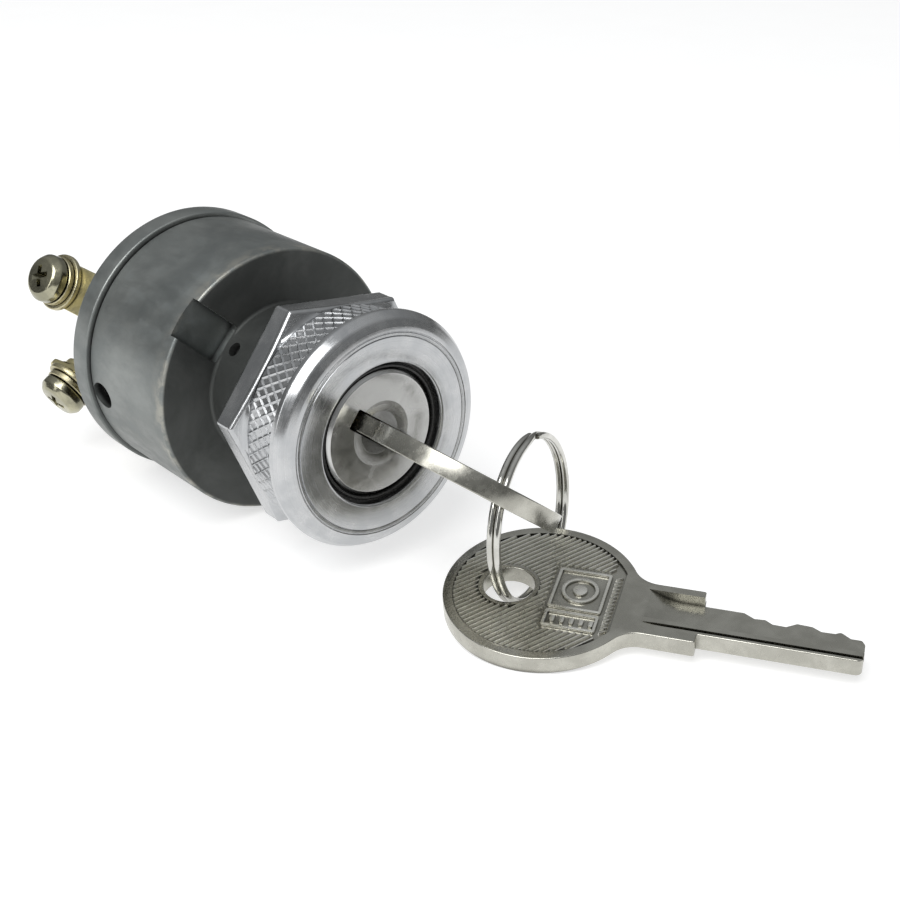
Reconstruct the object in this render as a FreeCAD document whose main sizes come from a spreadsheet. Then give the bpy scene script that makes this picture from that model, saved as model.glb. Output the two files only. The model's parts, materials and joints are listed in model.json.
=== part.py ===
import FreeCAD, Part
import Sketcher

import math
import os
import re

from FreeCAD import Placement, Rotation, Vector

# Key-operated selector switch with a threaded panel stem, a bezel nut and screw terminals.
# Frame: the switch axis is Y and the key goes in from -Y.  y = 0 is the shoulder that seats on the panel.
# Angles about the axis are measured from +X towards +Z.  Units are millimetres and degrees.

SIZES = {
    # housing: cup, raised rear band and panel stem
    "body_radius": 18.6, "edge_chamfer": 0.4, "groove_front": 18.9, "groove_radius": 18.2,
    "band_front": 19.3, "band_radius": 19.2, "band_rear": 23.4, "lip_radius": 16.4,
    "wall_rear": 3.2, "cavity_radius": 16.0, "cavity_rear": 18.2, "flange_bore": 17.35,
    "stem_radius": 11.0, "stem_front": -20.9, "stem_bore": 7.95, "stem_chamfer": 0.6,
    "thread_radius": 10.9, "thread_rear": -9.3,
    "notch_angle": 138.0, "notch_width": 5.6, "notch_depth": 1.3,
    "pin_y": -1.9, "pin_hole_radius": 1.0, "pin_radius": 0.97, "pin_inner": 7.15, "pin_outer": 9.9,
    "window_angle": 187.5, "window_y": 16.5, "window_length": 4.6, "window_width": 3.7,
    # bezel nut
    "nut_rear": -9.5, "hex_ridge": -12.6, "hex_front": -13.5, "hex_flats": 28.6, "hex_corner": 16.45,
    "hex_angle": 53.0, "nut_bore": 10.93, "drum_radius": 14.7, "drum_front": -19.7,
    "collar_radius": 15.9, "collar_rear": -20.1, "collar_front": -21.2, "collar_mid": 14.9,
    "face_radius": 13.0, "nut_front": -23.0, "lip_bore": 9.5, "lip_rear": -21.9,
    "seal_inner": 8.65, "seal_outer": 10.4,
    # lock plug, its face cap and its tumblers
    "key_angle": 142.5, "cap_radius": 8.4, "cap_front": -22.3, "cap_rear": -21.05, "cap_chamfer": 0.5,
    "dish_radius": 4.2, "dish_floor": 2.9, "dish_depth": 0.45,
    "plug_radius": 7.9, "plug_rear": 3.6, "pin_groove": 7.0, "pin_groove_half": 1.2,
    "keyway_width": 7.5, "keyway_breadth": 2.8, "keyway_rear": 1.2,
    "shoulder_width": 10.4, "shoulder_rear": -18.4,
    "wafer_first": -16.6, "wafer_pitch": 2.6, "wafer_thickness": 1.0, "wafer_half_height": 7.4,
    "wafer_half_width": 2.6, "wafer_tab": 4.4, "wafer_play": 0.1,
    "wafer_spring_side": 3.6, "wafer_spring_radius": 0.6, "wafer_spring_wire": 0.12,
    "wafer_spring_length": 3.4, "pocket_radius": 0.85,
    "blade_width": 3.0, "blade_height": 11.0, "blade_front": 1.6, "blade_rear": 6.6,
    # contact rotor, its detent and the moving contact
    "rotor_front": 4.2, "rotor_hub_radius": 6.2, "rotor_disc_front": 7.2, "rotor_disc_rear": 11.6,
    "rotor_radius": 15.3, "square_hub": 7.4, "square_rear": 15.3, "pivot_radius": 2.4, "pivot_rear": 19.4,
    "detent_angle": 40.0, "detent_y": 9.4, "detent_hole": 1.35, "detent_hole_floor": 8.0,
    "detent_spring_radius": 0.9, "detent_spring_wire": 0.18, "detent_spring_gap": 0.3,
    "ball_radius": 1.2, "ball_centre": 14.7, "notch_centre": 15.9, "notch_radius": 1.3,
    "run_turn": 40.0, "start_turn": 70.0,
    "bridge_front": 13.8, "bridge_rear": 15.0, "bridge_radius": 12.0, "square_hole": 7.7,
    "dimple_radius": 1.3, "dimple_rear": 15.7, "contact_circle": 10.5,
    "bridge_spring_radius": 6.0, "bridge_spring_wire": 0.3,
    "return_spring_radius": 10.0, "return_spring_wire": 0.5, "spring_play": 0.05,
    # terminal base and terminals
    "base_front": 17.4, "base_radius": 15.9, "flange_front": 18.6, "flange_radius": 17.3,
    "flange_rear": 22.5, "boss_radius": 12.2, "boss_rear": 26.0, "pivot_bore": 2.45, "pivot_bore_rear": 20.0,
    "gasket_inner": 16.1, "terminal_width": 6.6, "terminal_thickness": 1.0, "terminal_outer": 14.3,
    "slot_play": 0.02, "terminal_foot": 8.0, "terminal_bend": 24.5, "terminal_end": 39.2,
    "terminal_flare": 7.0,
    "screw_y": 35.3, "tapped_boss_radius": 3.0, "tapped_boss_depth": 1.2, "screw_hole": 2.0,
    "tab_cut_reach": 5.0,
    "rivet_radius": 1.7, "rivet_front": 15.9,
    "washer_radius": 4.15, "washer_thickness": 0.8, "washer_hole": 2.2,
    "lock_washer_radius": 3.6, "lock_washer_thickness": 1.0,
    "head_radius": 3.5, "head_height": 2.6, "head_crown": 0.9, "crown_inset": 1.2,
    "shank_radius": 1.9, "shank_length": 7.0,
    "recess_reach": 1.9, "recess_half": 0.4, "recess_depth": 1.3,
    "first_terminal": 150.0, "terminal_spread": 60.0,
    # keys and ring
    "key_thickness": 2.35, "bow_radius": 12.2, "bow_hole_offset": 4.15, "bow_hole_radius": 3.15,
    "neck_half_width": 4.85, "lug_end": 19.6, "blade_half_width": 3.45, "blade_tip": 38.6,
    "groove_half": 0.55, "groove_depth": 0.6, "groove_start": 13.5,
    "key_bow_y": -38.7,
    "ring_radius": 10.5, "ring_wire": 0.45, "ring_coil_offset": 0.44,
}

# Steps of the bitting: distance from the bow's centre and depth of cut at that place.
BITTING = [(21.5, 0.0), (24.6, 0.0), (26.6, 0.7), (28.2, 0.7), (29.6, 1.3), (31.0, 1.3), (32.4, 0.6),
           (33.6, 0.6), (35.0, 1.4), (36.4, 1.4), (37.4, 2.0)]

# Where the ring and the spare key lie at rest.
RING_CENTRE = Vector(9.29, -40.13, -8.22)
RING_NORMAL = Vector(-0.38, 0.923, -0.07)
SPARE_CENTRE = Vector(6.31, -45.68, -15.86)
SPARE_ALONG = Vector(0.524, -0.852, 0.002)
SPARE_ACROSS = Vector(0.838, 0.516, 0.177)

ACROSS_Y = Rotation(Vector(1, 0, 0), -90)
WAFER_COUNT = 5
FINE_SPRING_TURNS = 6
AXIAL_SPRING_TURNS = 2
BRIDGE_CONTACTS = 3

doc = FreeCAD.newDocument("key_switch")
sheet = doc.addObject("Spreadsheet::Sheet", "sizes")
nodes = []


def fill_sheet():
    for row, (alias, size) in enumerate(SIZES.items(), start=1):
        sheet.set(f"A{row}", alias)
        sheet.set(f"B{row}", str(size))
        sheet.setAlias(f"B{row}", alias)
    doc.recompute()


def value(expression):
    return float(sheet.evalExpression(expression))


def cells(expression):
    """The same expression, with each alias read from the sheet."""
    return re.sub(r"[a-z][a-z_]*", lambda word: "sizes." + word.group(0), expression)


def bind(item, **expressions):
    """Binds properties of an object: a double underscore in the name stands for a dot."""
    for name, expression in expressions.items():
        item.setExpression(name.replace("__", "."), cells(expression))
    return item


def node(item, name):
    item.Label = name
    nodes.append(item)
    return item


def turned(item, angle):
    """A wrapper that turns an object about the switch axis."""
    wrapper = doc.addObject("Part::Compound", item.Name + "_turned")
    wrapper.Links = [item]
    wrapper.Placement = Placement(Vector(), Rotation(Vector(0, 1, 0), -value(angle)))
    wrapper.setExpression("Placement.Rotation.Angle", f"-({cells(angle)})")
    return wrapper


def cylinder(name, radius, front, rear):
    """A cylinder on the switch axis."""
    item = doc.addObject("Part::Cylinder", name)
    item.Placement = Placement(Vector(), ACROSS_Y)
    return bind(item, Radius=radius, Height=f"{rear} - ({front})", Placement__Base__y=front)


def radial_cylinder(name, radius, inner, outer, y):
    """A cylinder that points out along +X."""
    item = doc.addObject("Part::Cylinder", name)
    item.Placement = Placement(Vector(), Rotation(Vector(0, 1, 0), 90))
    bind(item, Radius=radius, Height=f"{outer} - ({inner})")
    return bind(item, Placement__Base__x=inner, Placement__Base__y=y)


def block(name, x, y, z):
    """A box from pairs of low and high expressions."""
    item = doc.addObject("Part::Box", name)
    bind(item, Length=f"{x[1]} - ({x[0]})", Width=f"{y[1]} - ({y[0]})", Height=f"{z[1]} - ({z[0]})")
    return bind(item, Placement__Base__x=x[0], Placement__Base__y=y[0], Placement__Base__z=z[0])


def fuse(name, *items):
    item = doc.addObject("Part::MultiFuse", name)
    item.Shapes = list(items)
    return item


def cut(name, base, *tools):
    """The base less every tool."""
    item = doc.addObject("Part::Cut", name)
    item.Base = base
    item.Tool = tools[0] if len(tools) == 1 else fuse(name + "_tools", *tools)
    return item


def group(name, items):
    item = doc.addObject("Part::Compound", name)
    item.Links = list(items)
    return item


def outline(body, plane, points):
    """A closed polygon sketch on one of the body's own planes, each corner bound to the sheet."""
    sketch = body.newObject("Sketcher::SketchObject", body.Name + "_outline")
    origin_plane = [part for part in body.Origin.OriginFeatures if part.Role == plane][0]
    sketch.AttachmentSupport = [(origin_plane, "")]
    sketch.MapMode = "FlatFace"
    places = [Vector(value(across), value(along), 0) for across, along in points]
    count = len(places)
    for corner in range(count):
        sketch.addGeometry(Part.LineSegment(places[corner], places[(corner + 1) % count]), False)
    for corner in range(count):
        sketch.addConstraint(Sketcher.Constraint("Coincident", corner, 2, (corner + 1) % count, 1))
    for corner, (across, along) in enumerate(points):
        for kind, expression in (("DistanceX", across), ("DistanceY", along)):
            rule = Sketcher.Constraint(kind, -1, 1, corner, 1, value(expression))
            name = f"{kind}_{corner}"
            sketch.renameConstraint(sketch.addConstraint(rule), name)
            sketch.setExpression("Constraints." + name, cells(expression))
    return sketch


def revolved(name, points):
    """A body turned about the switch axis from (radius, y) corners."""
    body = doc.addObject("PartDesign::Body", name)
    sketch = outline(body, "YZ_Plane", [(along, radius) for radius, along in points])
    turning = body.newObject("PartDesign::Revolution", name + "_turning")
    turning.Profile = sketch
    turning.ReferenceAxis = (sketch, ["H_Axis"])
    turning.Angle = 360
    return body


def padded(name, points, thickness):
    """A body padded both ways from a polygon in the XY plane."""
    body = doc.addObject("PartDesign::Body", name)
    pad = body.newObject("PartDesign::Pad", name + "_pad")
    pad.Profile = outline(body, "XY_Plane", points)
    pad.Midplane = True
    bind(pad, Length=thickness)
    return body


def coil(name, radius, wire, height, turns):
    """A helical spring standing on the XY plane."""
    path = Part.makeLongHelix(height / turns, height, radius)
    section = Part.Wire([Part.makeCircle(wire, Vector(radius, 0, 0), Vector(0, 1, 0))])
    item = doc.addObject("Part::Feature", name)
    item.Shape = Part.Wire(path).makePipeShell([section], True, True)
    return item


def make_housing():
    shell = revolved("housing_shell", [
        ("stem_bore", "stem_front"), ("thread_radius - stem_chamfer", "stem_front"),
        ("thread_radius", "stem_front + stem_chamfer"), ("thread_radius", "thread_rear"),
        ("stem_radius", "thread_rear"), ("stem_radius", "0"),
        ("body_radius - edge_chamfer", "0"), ("body_radius", "edge_chamfer"),
        ("body_radius", "groove_front"), ("groove_radius", "groove_front"),
        ("groove_radius", "band_front"), ("band_radius", "band_front"), ("band_radius", "band_rear"),
        ("lip_radius", "band_rear"), ("lip_radius", "flange_rear"), ("flange_bore", "flange_rear"),
        ("flange_bore", "cavity_rear"), ("cavity_radius", "cavity_rear"),
        ("cavity_radius", "wall_rear"), ("stem_bore", "wall_rear")])
    notch = block("panel_notch", ("stem_radius - 0.2", "body_radius + 1"), ("-1", "notch_depth"),
                  ("-notch_width / 2", "notch_width / 2"))
    pin_hole = radial_cylinder("pin_hole", "pin_hole_radius", "pin_inner", "stem_radius + 1", "pin_y")
    tools = [turned(notch, "notch_angle"), turned(pin_hole, "notch_angle")]
    for side in range(2):
        tools.append(turned(make_window(f"window_{side}"), f"window_angle + {180 * side}"))
    for stop, turn in (("off", "0"), ("run", "run_turn"), ("start", "start_turn")):
        channel = cylinder(f"detent_channel_{stop}", "notch_radius", "detent_y - 2.5", "detent_y + 2.5")
        bind(channel, Placement__Base__x="notch_centre")
        tools.append(turned(channel, f"detent_angle - {turn}"))
    return node(cut("housing", shell, *tools), "housing")


def make_window(name):
    """An oval hole through the housing wall, long along the axis."""
    oval = doc.addObject("Part::Ellipse", name + "_outline")
    oval.Placement = Placement(Vector(), Rotation(Vector(0, 1, 0), Vector(0, 0, 1), Vector(1, 0, 0), "XYZ"))
    bind(oval, MajorRadius="window_length / 2", MinorRadius="window_width / 2",
         Placement__Base__x="cavity_radius - 1", Placement__Base__y="window_y")
    hole = doc.addObject("Part::Extrusion", name)
    hole.Base = oval
    hole.DirMode = "Custom"
    hole.Dir = Vector(1, 0, 0)
    hole.Solid = True
    return bind(hole, LengthFwd="body_radius - cavity_radius + 2")


def make_bezel_nut():
    turning = revolved("nut_turning", [
        ("lip_bore", "nut_front"), ("face_radius", "nut_front"), ("collar_mid", "nut_front + 0.6"),
        ("collar_radius", "collar_front"), ("collar_radius", "collar_rear"), ("drum_radius", "drum_front"),
        ("drum_radius", "hex_front + 0.3"), ("nut_bore", "hex_front + 0.3"), ("nut_bore", "lip_rear"),
        ("lip_bore", "lip_rear")])
    corners = revolved("nut_corner_turning", [
        ("nut_bore", "hex_front"), ("drum_radius", "hex_front"), ("hex_corner", "hex_ridge"),
        ("hex_corner", "nut_rear - 0.4"), ("hex_corner - 0.8", "nut_rear"), ("nut_bore", "nut_rear")])
    prism = doc.addObject("Part::Prism", "nut_prism")
    prism.Polygon = 6
    prism.Placement = Placement(Vector(), ACROSS_Y)
    bind(prism, Circumradius="hex_flats / 1.7320508", Height="nut_rear - hex_front",
         Placement__Base__y="hex_front")
    flats = doc.addObject("Part::MultiCommon", "nut_flats")
    flats.Shapes = [corners, turned(prism, "hex_angle")]
    return node(fuse("bezel_nut", turning, flats), "bezel_nut")


def make_seal():
    return node(revolved("seal_ring", [
        ("seal_inner", "stem_front - 0.85"), ("seal_inner + 0.2", "lip_rear + 0.02"),
        ("seal_outer", "lip_rear + 0.02"), ("seal_outer", "stem_front - 0.02"),
        ("seal_inner + 0.2", "stem_front - 0.02"), ("seal_inner", "stem_front - 0.2")]), "seal_ring")


def key_slot(name, width, front, rear):
    """A slot across the plug's centre line, wide along the key's width."""
    return block(name, (f"-({width}) / 2", f"({width}) / 2"), (front, rear),
                 ("-keyway_breadth / 2", "keyway_breadth / 2"))


def make_cap():
    disc = revolved("cap_disc", [
        ("0", "cap_rear"), ("cap_radius", "cap_rear"), ("cap_radius", "cap_front + cap_chamfer"),
        ("cap_radius - cap_chamfer", "cap_front"), ("dish_radius", "cap_front"),
        ("dish_floor", "cap_front + dish_depth"), ("0", "cap_front + dish_depth")])
    slot = key_slot("cap_slot", "shoulder_width", "cap_front - 1", "cap_rear + 1")
    return node(turned(cut("cap_body", disc, slot), "key_angle"), "plug_cap")


def wafer_front(index):
    return f"wafer_first + {index} * wafer_pitch"


def make_plug():
    barrel = revolved("plug_barrel", [
        ("0", "cap_rear"), ("plug_radius", "cap_rear"), ("plug_radius", "pin_y - pin_groove_half"),
        ("pin_groove", "pin_y - pin_groove_half"), ("pin_groove", "pin_y + pin_groove_half"),
        ("plug_radius", "pin_y + pin_groove_half"), ("plug_radius", "plug_rear"), ("0", "plug_rear")])
    tools = [key_slot("plug_keyway", "keyway_width", "cap_rear - 1", "keyway_rear"),
             key_slot("plug_shoulder_slot", "shoulder_width", "cap_rear - 1", "shoulder_rear"),
             block("plug_tail_slot", ("-plug_radius - 1", "plug_radius + 1"),
                   ("blade_front", "plug_rear + 1"), ("-blade_width / 2", "blade_width / 2"))]
    for index in range(WAFER_COUNT):
        front = f"{wafer_front(index)} - wafer_play / 2"
        rear = f"{wafer_front(index)} + wafer_thickness + wafer_play / 2"
        tools.append(block(f"wafer_slot_{index}", ("-plug_radius - 1", "plug_radius + 1"), (front, rear),
                           ("-wafer_half_width - wafer_play", "wafer_half_width + wafer_play")))
        tools.append(block(f"tab_slot_{index}", ("-0.6", "1.2"), (front, rear),
                           ("0", "wafer_tab + wafer_play")))
        pocket = radial_cylinder(f"spring_pocket_{index}", "pocket_radius",
                                 "-0.5 - wafer_spring_length - 0.4", "0",
                                 f"{wafer_front(index)} + wafer_thickness / 2")
        tools.append(bind(pocket, Placement__Base__z="wafer_spring_side"))
    return node(turned(cut("plug_body", barrel, *tools), "key_angle"), "lock_plug")


def make_wafers():
    wafers = []
    for index in range(WAFER_COUNT):
        span = (wafer_front(index), f"{wafer_front(index)} + wafer_thickness")
        plate = block(f"wafer_plate_{index}", ("-wafer_half_height", "wafer_half_height"), span,
                      ("-wafer_half_width", "wafer_half_width"))
        tab = block(f"wafer_tab_{index}", ("-0.5", "0.5"), span, ("0", "wafer_tab"))
        window = key_slot(f"wafer_window_{index}", "keyway_width - 0.1", span[0] + " - 1", span[1] + " + 1")
        wafers.append(cut(f"wafer_{index}", fuse(f"wafer_blank_{index}", plate, tab), window))
    return node(turned(group("wafer_stack", wafers), "key_angle"), "tumbler_wafers")


def make_wafer_springs():
    springs = []
    length = value("wafer_spring_length")
    for index in range(WAFER_COUNT):
        spring = coil(f"wafer_spring_{index}", value("wafer_spring_radius"), value("wafer_spring_wire"),
                      length - 2 * value("wafer_spring_wire"), FINE_SPRING_TURNS)
        spring.Placement = Placement(Vector(-0.5 - length + value("wafer_spring_wire"),
                                            value(f"{wafer_front(index)} + wafer_thickness / 2"),
                                            value("wafer_spring_side")), Rotation(Vector(0, 1, 0), 90))
        springs.append(spring)
    return node(turned(group("wafer_spring_set", springs), "key_angle"), "wafer_springs")


def make_plug_pin():
    pin = radial_cylinder("plug_pin_body", "pin_radius", "pin_inner", "pin_outer", "pin_y")
    return node(turned(pin, "notch_angle"), "plug_pin")


def make_drive_blade():
    blade = block("drive_blade_body", ("-blade_height / 2", "blade_height / 2"),
                  ("blade_front + 0.05", "blade_rear"), ("-blade_width / 2 + 0.03", "blade_width / 2 - 0.03"))
    return node(turned(blade, "key_angle"), "drive_blade")


def make_rotor():
    disc = revolved("rotor_disc", [
        ("0", "rotor_front"), ("rotor_hub_radius", "rotor_front"), ("rotor_hub_radius", "rotor_disc_front"),
        ("rotor_radius", "rotor_disc_front"), ("rotor_radius", "rotor_disc_rear"), ("0", "rotor_disc_rear")])
    hub = block("rotor_square_hub", ("-square_hub / 2", "square_hub / 2"),
                ("rotor_disc_rear - 0.5", "square_rear"), ("-square_hub / 2", "square_hub / 2"))
    pivot = cylinder("rotor_pivot", "pivot_radius", "square_rear - 0.5", "pivot_rear")
    slot = turned(block("rotor_slot", ("-blade_height / 2 - 0.1", "blade_height / 2 + 0.1"),
                        ("rotor_front - 1", "blade_rear + 0.1"), ("-blade_width / 2", "blade_width / 2")),
                  "key_angle")
    detent = turned(radial_cylinder("rotor_detent_hole", "detent_hole", "detent_hole_floor",
                                    "rotor_radius + 1", "detent_y"), "detent_angle")
    return node(cut("contact_rotor", fuse("rotor_blank", disc, hub, pivot), slot, detent), "contact_rotor")


def make_detent():
    ball = doc.addObject("Part::Sphere", "detent_ball_body")
    bind(ball, Radius="ball_radius", Placement__Base__x="ball_centre", Placement__Base__y="detent_y")
    start = value("detent_hole_floor + detent_spring_gap")
    length = value("ball_centre - ball_radius - detent_spring_gap") - start
    spring = coil("detent_spring_body", value("detent_spring_radius"), value("detent_spring_wire"),
                  length, FINE_SPRING_TURNS)
    spring.Placement = Placement(Vector(start, value("detent_y"), 0), Rotation(Vector(0, 1, 0), 90))
    node(turned(ball, "detent_angle"), "detent_ball")
    node(turned(group("detent_spring_set", [spring]), "detent_angle"), "detent_spring")


def make_bridge():
    plate = cylinder("bridge_plate", "bridge_radius", "bridge_front", "bridge_rear")
    hole = block("bridge_hole", ("-square_hole / 2", "square_hole / 2"),
                 ("bridge_front - 1", "bridge_rear + 1"), ("-square_hole / 2", "square_hole / 2"))
    dimples = []
    for index in range(BRIDGE_CONTACTS):
        dimple = cylinder(f"bridge_dimple_{index}", "dimple_radius", "bridge_rear - 0.3", "dimple_rear")
        bind(dimple, Placement__Base__x="contact_circle")
        dimples.append(turned(dimple, f"first_terminal + {360 * index} / {BRIDGE_CONTACTS}"))
    return node(cut("contact_bridge", fuse("bridge_blank", plate, *dimples), hole), "contact_bridge")


def axial_spring(name, front, rear):
    """A coil round the switch axis, its wire just clear of the front and rear faces."""
    gauge = value(name + "_wire")
    play = value("spring_play")
    length = value(f"{rear} - ({front})") - 2 * (gauge + play)
    spring = coil(name + "_body", value(name + "_radius"), gauge, length, AXIAL_SPRING_TURNS)
    spring.Placement = Placement(Vector(0, value(front) + gauge + play, 0), ACROSS_Y)
    return node(group(name, [spring]), name)


def make_base():
    moulding = revolved("base_moulding", [
        ("0", "pivot_bore_rear"), ("pivot_bore", "pivot_bore_rear"), ("pivot_bore", "base_front"),
        ("base_radius", "base_front"), ("base_radius", "flange_front"), ("flange_radius", "flange_front"),
        ("flange_radius", "flange_rear"), ("boss_radius", "flange_rear"), ("boss_radius", "boss_rear"),
        ("0", "boss_rear")])
    slots = []
    for index, angle in enumerate(terminal_angles()):
        slot = block(f"terminal_slot_{index}",
                     ("terminal_outer - terminal_thickness - slot_play", "terminal_outer + slot_play"),
                     ("base_front - 1", "flange_rear + 1"),
                     ("-terminal_width / 2 - slot_play", "terminal_width / 2 + slot_play"))
        slots.append(turned(slot, angle))
    node(cut("terminal_base", moulding, *slots), "terminal_base")
    node(revolved("base_gasket", [
        ("gasket_inner", "cavity_rear"), ("flange_radius", "cavity_rear"), ("flange_radius", "flange_front"),
        ("gasket_inner", "flange_front")]), "base_gasket")


def terminal_angles():
    """Two terminals on each side of the switch, a spread apart."""
    return ["first_terminal", "first_terminal + terminal_spread", "first_terminal + 180",
            "first_terminal + 180 + terminal_spread"]


def tab_end_radius():
    """How far the flared tab's outer face is from the switch axis at its end."""
    slope = math.tan(math.radians(value("terminal_flare")))
    return value("terminal_outer") + (value("terminal_end") - value("terminal_bend")) * slope


def screw_frame():
    """The place and rotation that put a thing standing on the XY plane square on the flared tab."""
    slope = math.tan(math.radians(value("terminal_flare")))
    outward = value("terminal_outer") + (value("screw_y") - value("terminal_bend")) * slope
    tilt = Rotation(Vector(0, 0, 1), -value("terminal_flare"))
    return Placement(Vector(outward, value("screw_y"), 0), tilt.multiply(Rotation(Vector(0, 1, 0), 90)))


def seated(item, height=0.0):
    """Sets a turned piece on the tab, a height above its outer face."""
    item.Placement = screw_frame().multiply(Placement(Vector(0, 0, height), Rotation()))
    return item


def standing_cylinder(name, radius, length):
    item = doc.addObject("Part::Cylinder", name)
    return bind(item, Radius=radius, Height=length)


def make_terminals():
    flared = str(tab_end_radius())
    for index, angle in enumerate(terminal_angles(), start=1):
        tab = padded(f"terminal_tab_{index}", [
            ("terminal_foot", "base_front - terminal_thickness"),
            ("terminal_outer", "base_front - terminal_thickness"), ("terminal_outer", "terminal_bend"),
            (flared, "terminal_end"), (flared + " - terminal_thickness", "terminal_end"),
            ("terminal_outer - terminal_thickness", "terminal_bend"),
            ("terminal_outer - terminal_thickness", "base_front"), ("terminal_foot", "base_front")],
            "terminal_width")
        boss = seated(standing_cylinder(f"tapped_boss_{index}", "tapped_boss_radius",
                                        "tapped_boss_depth + terminal_thickness - 0.05"),
                      -value("tapped_boss_depth + terminal_thickness"))
        hole = seated(standing_cylinder(f"screw_hole_{index}", "screw_hole", "2 * tab_cut_reach"),
                      -value("tab_cut_reach"))
        name = f"terminal_{index}"
        node(turned(cut(name + "_body", fuse(name + "_blank", tab, boss), hole), angle), name)


def make_rivets():
    rivets = []
    for index, angle in enumerate(terminal_angles()):
        rivet = cylinder(f"rivet_{index}", "rivet_radius", "rivet_front", "base_front - terminal_thickness")
        rivets.append(turned(bind(rivet, Placement__Base__x="contact_circle"), angle))
    return node(group("fixed_contacts", rivets), "fixed_contacts")


def washer(name, radius, thickness, height):
    disc = standing_cylinder(name + "_disc", radius, thickness)
    hole = standing_cylinder(name + "_hole", "washer_hole", thickness)
    return seated(cut(name, disc, hole), height)


def make_screw(name):
    """A pan-head screw with a cross recess, standing on its head's bearing face."""
    head = standing_cylinder(name + "_head", "head_radius", "head_height - head_crown")
    crown = doc.addObject("Part::Cone", name + "_crown")
    bind(crown, Radius1="head_radius", Radius2="head_radius - crown_inset", Height="head_crown",
         Placement__Base__z="head_height - head_crown")
    shank = standing_cylinder(name + "_shank", "shank_radius", "shank_length")
    bind(shank, Placement__Base__z="-shank_length")
    recess = []
    wings = (("recess_reach", "recess_half"), ("recess_half", "recess_reach"))
    for side, (across, along) in enumerate(wings):
        recess.append(block(f"{name}_recess_{side}", (f"-{across}", across), (f"-{along}", along),
                            ("head_height - recess_depth", "head_height + 1")))
    return cut(name, fuse(name + "_blank", head, crown, shank), *recess)


def make_fasteners():
    flat, lock, screws = [], [], []
    flat_height = value("washer_thickness")
    lock_height = value("lock_washer_thickness")
    for index, angle in enumerate(terminal_angles()):
        flat.append(turned(washer(f"flat_washer_{index}", "washer_radius", "washer_thickness", 0.0), angle))
        lock.append(turned(washer(f"lock_washer_{index}", "lock_washer_radius", "lock_washer_thickness",
                                  flat_height), angle))
        screws.append(turned(seated(make_screw(f"screw_{index}"), flat_height + lock_height), angle))
    node(group("flat_washers", flat), "flat_washers")
    node(group("spring_washers", lock), "spring_washers")
    node(group("terminal_screws", screws), "terminal_screws")


def make_key(name, placement):
    """A cut key: the bow's centre is the origin, the blade points along +X, the cuts face +Y."""
    bow = doc.addObject("Part::Cylinder", name + "_bow")
    bind(bow, Radius="bow_radius", Height="key_thickness", Placement__Base__z="-key_thickness / 2")
    cuts = [(str(place), f"blade_half_width - {depth}") for place, depth in reversed(BITTING)]
    blade = padded(name + "_blade", [
        ("0", "-neck_half_width"), ("lug_end", "-neck_half_width"), ("lug_end", "-blade_half_width"),
        ("blade_tip - 1.2", "-blade_half_width"), ("blade_tip", "-blade_half_width + 1.2"),
        ("blade_tip", "0.4")] + cuts + [
        ("lug_end", "blade_half_width"), ("lug_end", "neck_half_width"), ("0", "neck_half_width")],
        "key_thickness")
    hole = doc.addObject("Part::Cylinder", name + "_hole")
    bind(hole, Radius="bow_hole_radius", Height="key_thickness + 2", Placement__Base__x="-bow_hole_offset",
         Placement__Base__z="-key_thickness / 2 - 1")
    tools = [hole]
    for side, (low, high) in enumerate((("key_thickness / 2 - groove_depth", "key_thickness"),
                                        ("-key_thickness", "groove_depth - key_thickness / 2"))):
        tools.append(block(f"{name}_groove_{side}", ("groove_start", "blade_tip + 1"),
                           ("-groove_half - 0.9", "groove_half - 0.9"), (low, high)))
    item = node(cut(name, fuse(name + "_blank", bow, blade), *tools), name)
    item.Placement = placement
    return item


def make_keys():
    slope = math.radians(value("key_angle"))
    across = Vector(math.cos(slope), 0, math.sin(slope))
    along = Vector(0, 1, 0)
    turn = Rotation(along, across, along.cross(across), "XYZ")
    make_key("key", Placement(Vector(0, value("key_bow_y"), 0), turn))
    along = Vector(SPARE_ALONG).normalize()
    across = Vector(SPARE_ACROSS).normalize()
    make_key("spare_key", Placement(SPARE_CENTRE, Rotation(along, across, along.cross(across), "XYZ")))


def make_ring():
    coils = []
    for side, offset in (("near", "-ring_coil_offset"), ("far", "ring_coil_offset")):
        coil_turn = doc.addObject("Part::Torus", f"ring_coil_{side}")
        coils.append(bind(coil_turn, Radius1="ring_radius", Radius2="ring_wire", Placement__Base__z=offset))
    ring = node(fuse("key_ring", *coils), "key_ring")
    ring.Placement = Placement(RING_CENTRE, Rotation(Vector(0, 0, 1), RING_NORMAL))
    return ring


def check_and_write():
    doc.recompute()
    failed = [item.Name for item in doc.Objects if {"Invalid", "Error"} & set(item.State)]
    if failed:
        raise SystemExit(f"failed objects: {failed}")
    os.makedirs("parts", exist_ok=True)
    for item in nodes:
        shape = item.Shape
        if shape.isNull() or not shape.isValid() or not shape.Solids:
            raise SystemExit(f"bad shape: {item.Label}")
        shape.exportStep(f"parts/{item.Label}.step")
        print(f"{item.Label}: {len(shape.Solids)} solids, {shape.Volume:.1f} mm3")


fill_sheet()
make_housing()
make_bezel_nut()
make_seal()
make_cap()
make_plug()
make_wafers()
make_wafer_springs()
make_plug_pin()
make_drive_blade()
make_rotor()
make_detent()
make_bridge()
axial_spring("bridge_spring", "rotor_disc_rear", "bridge_front")
axial_spring("return_spring", "wall_rear", "rotor_disc_front")
make_base()
make_terminals()
make_rivets()
make_fasteners()
make_keys()
make_ring()
check_and_write()
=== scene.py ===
"""Looks of the key switch: detailed pieces, materials, floor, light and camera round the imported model."""

import json
import math

import bmesh
import bpy
from mathutils import Matrix, Vector


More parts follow.
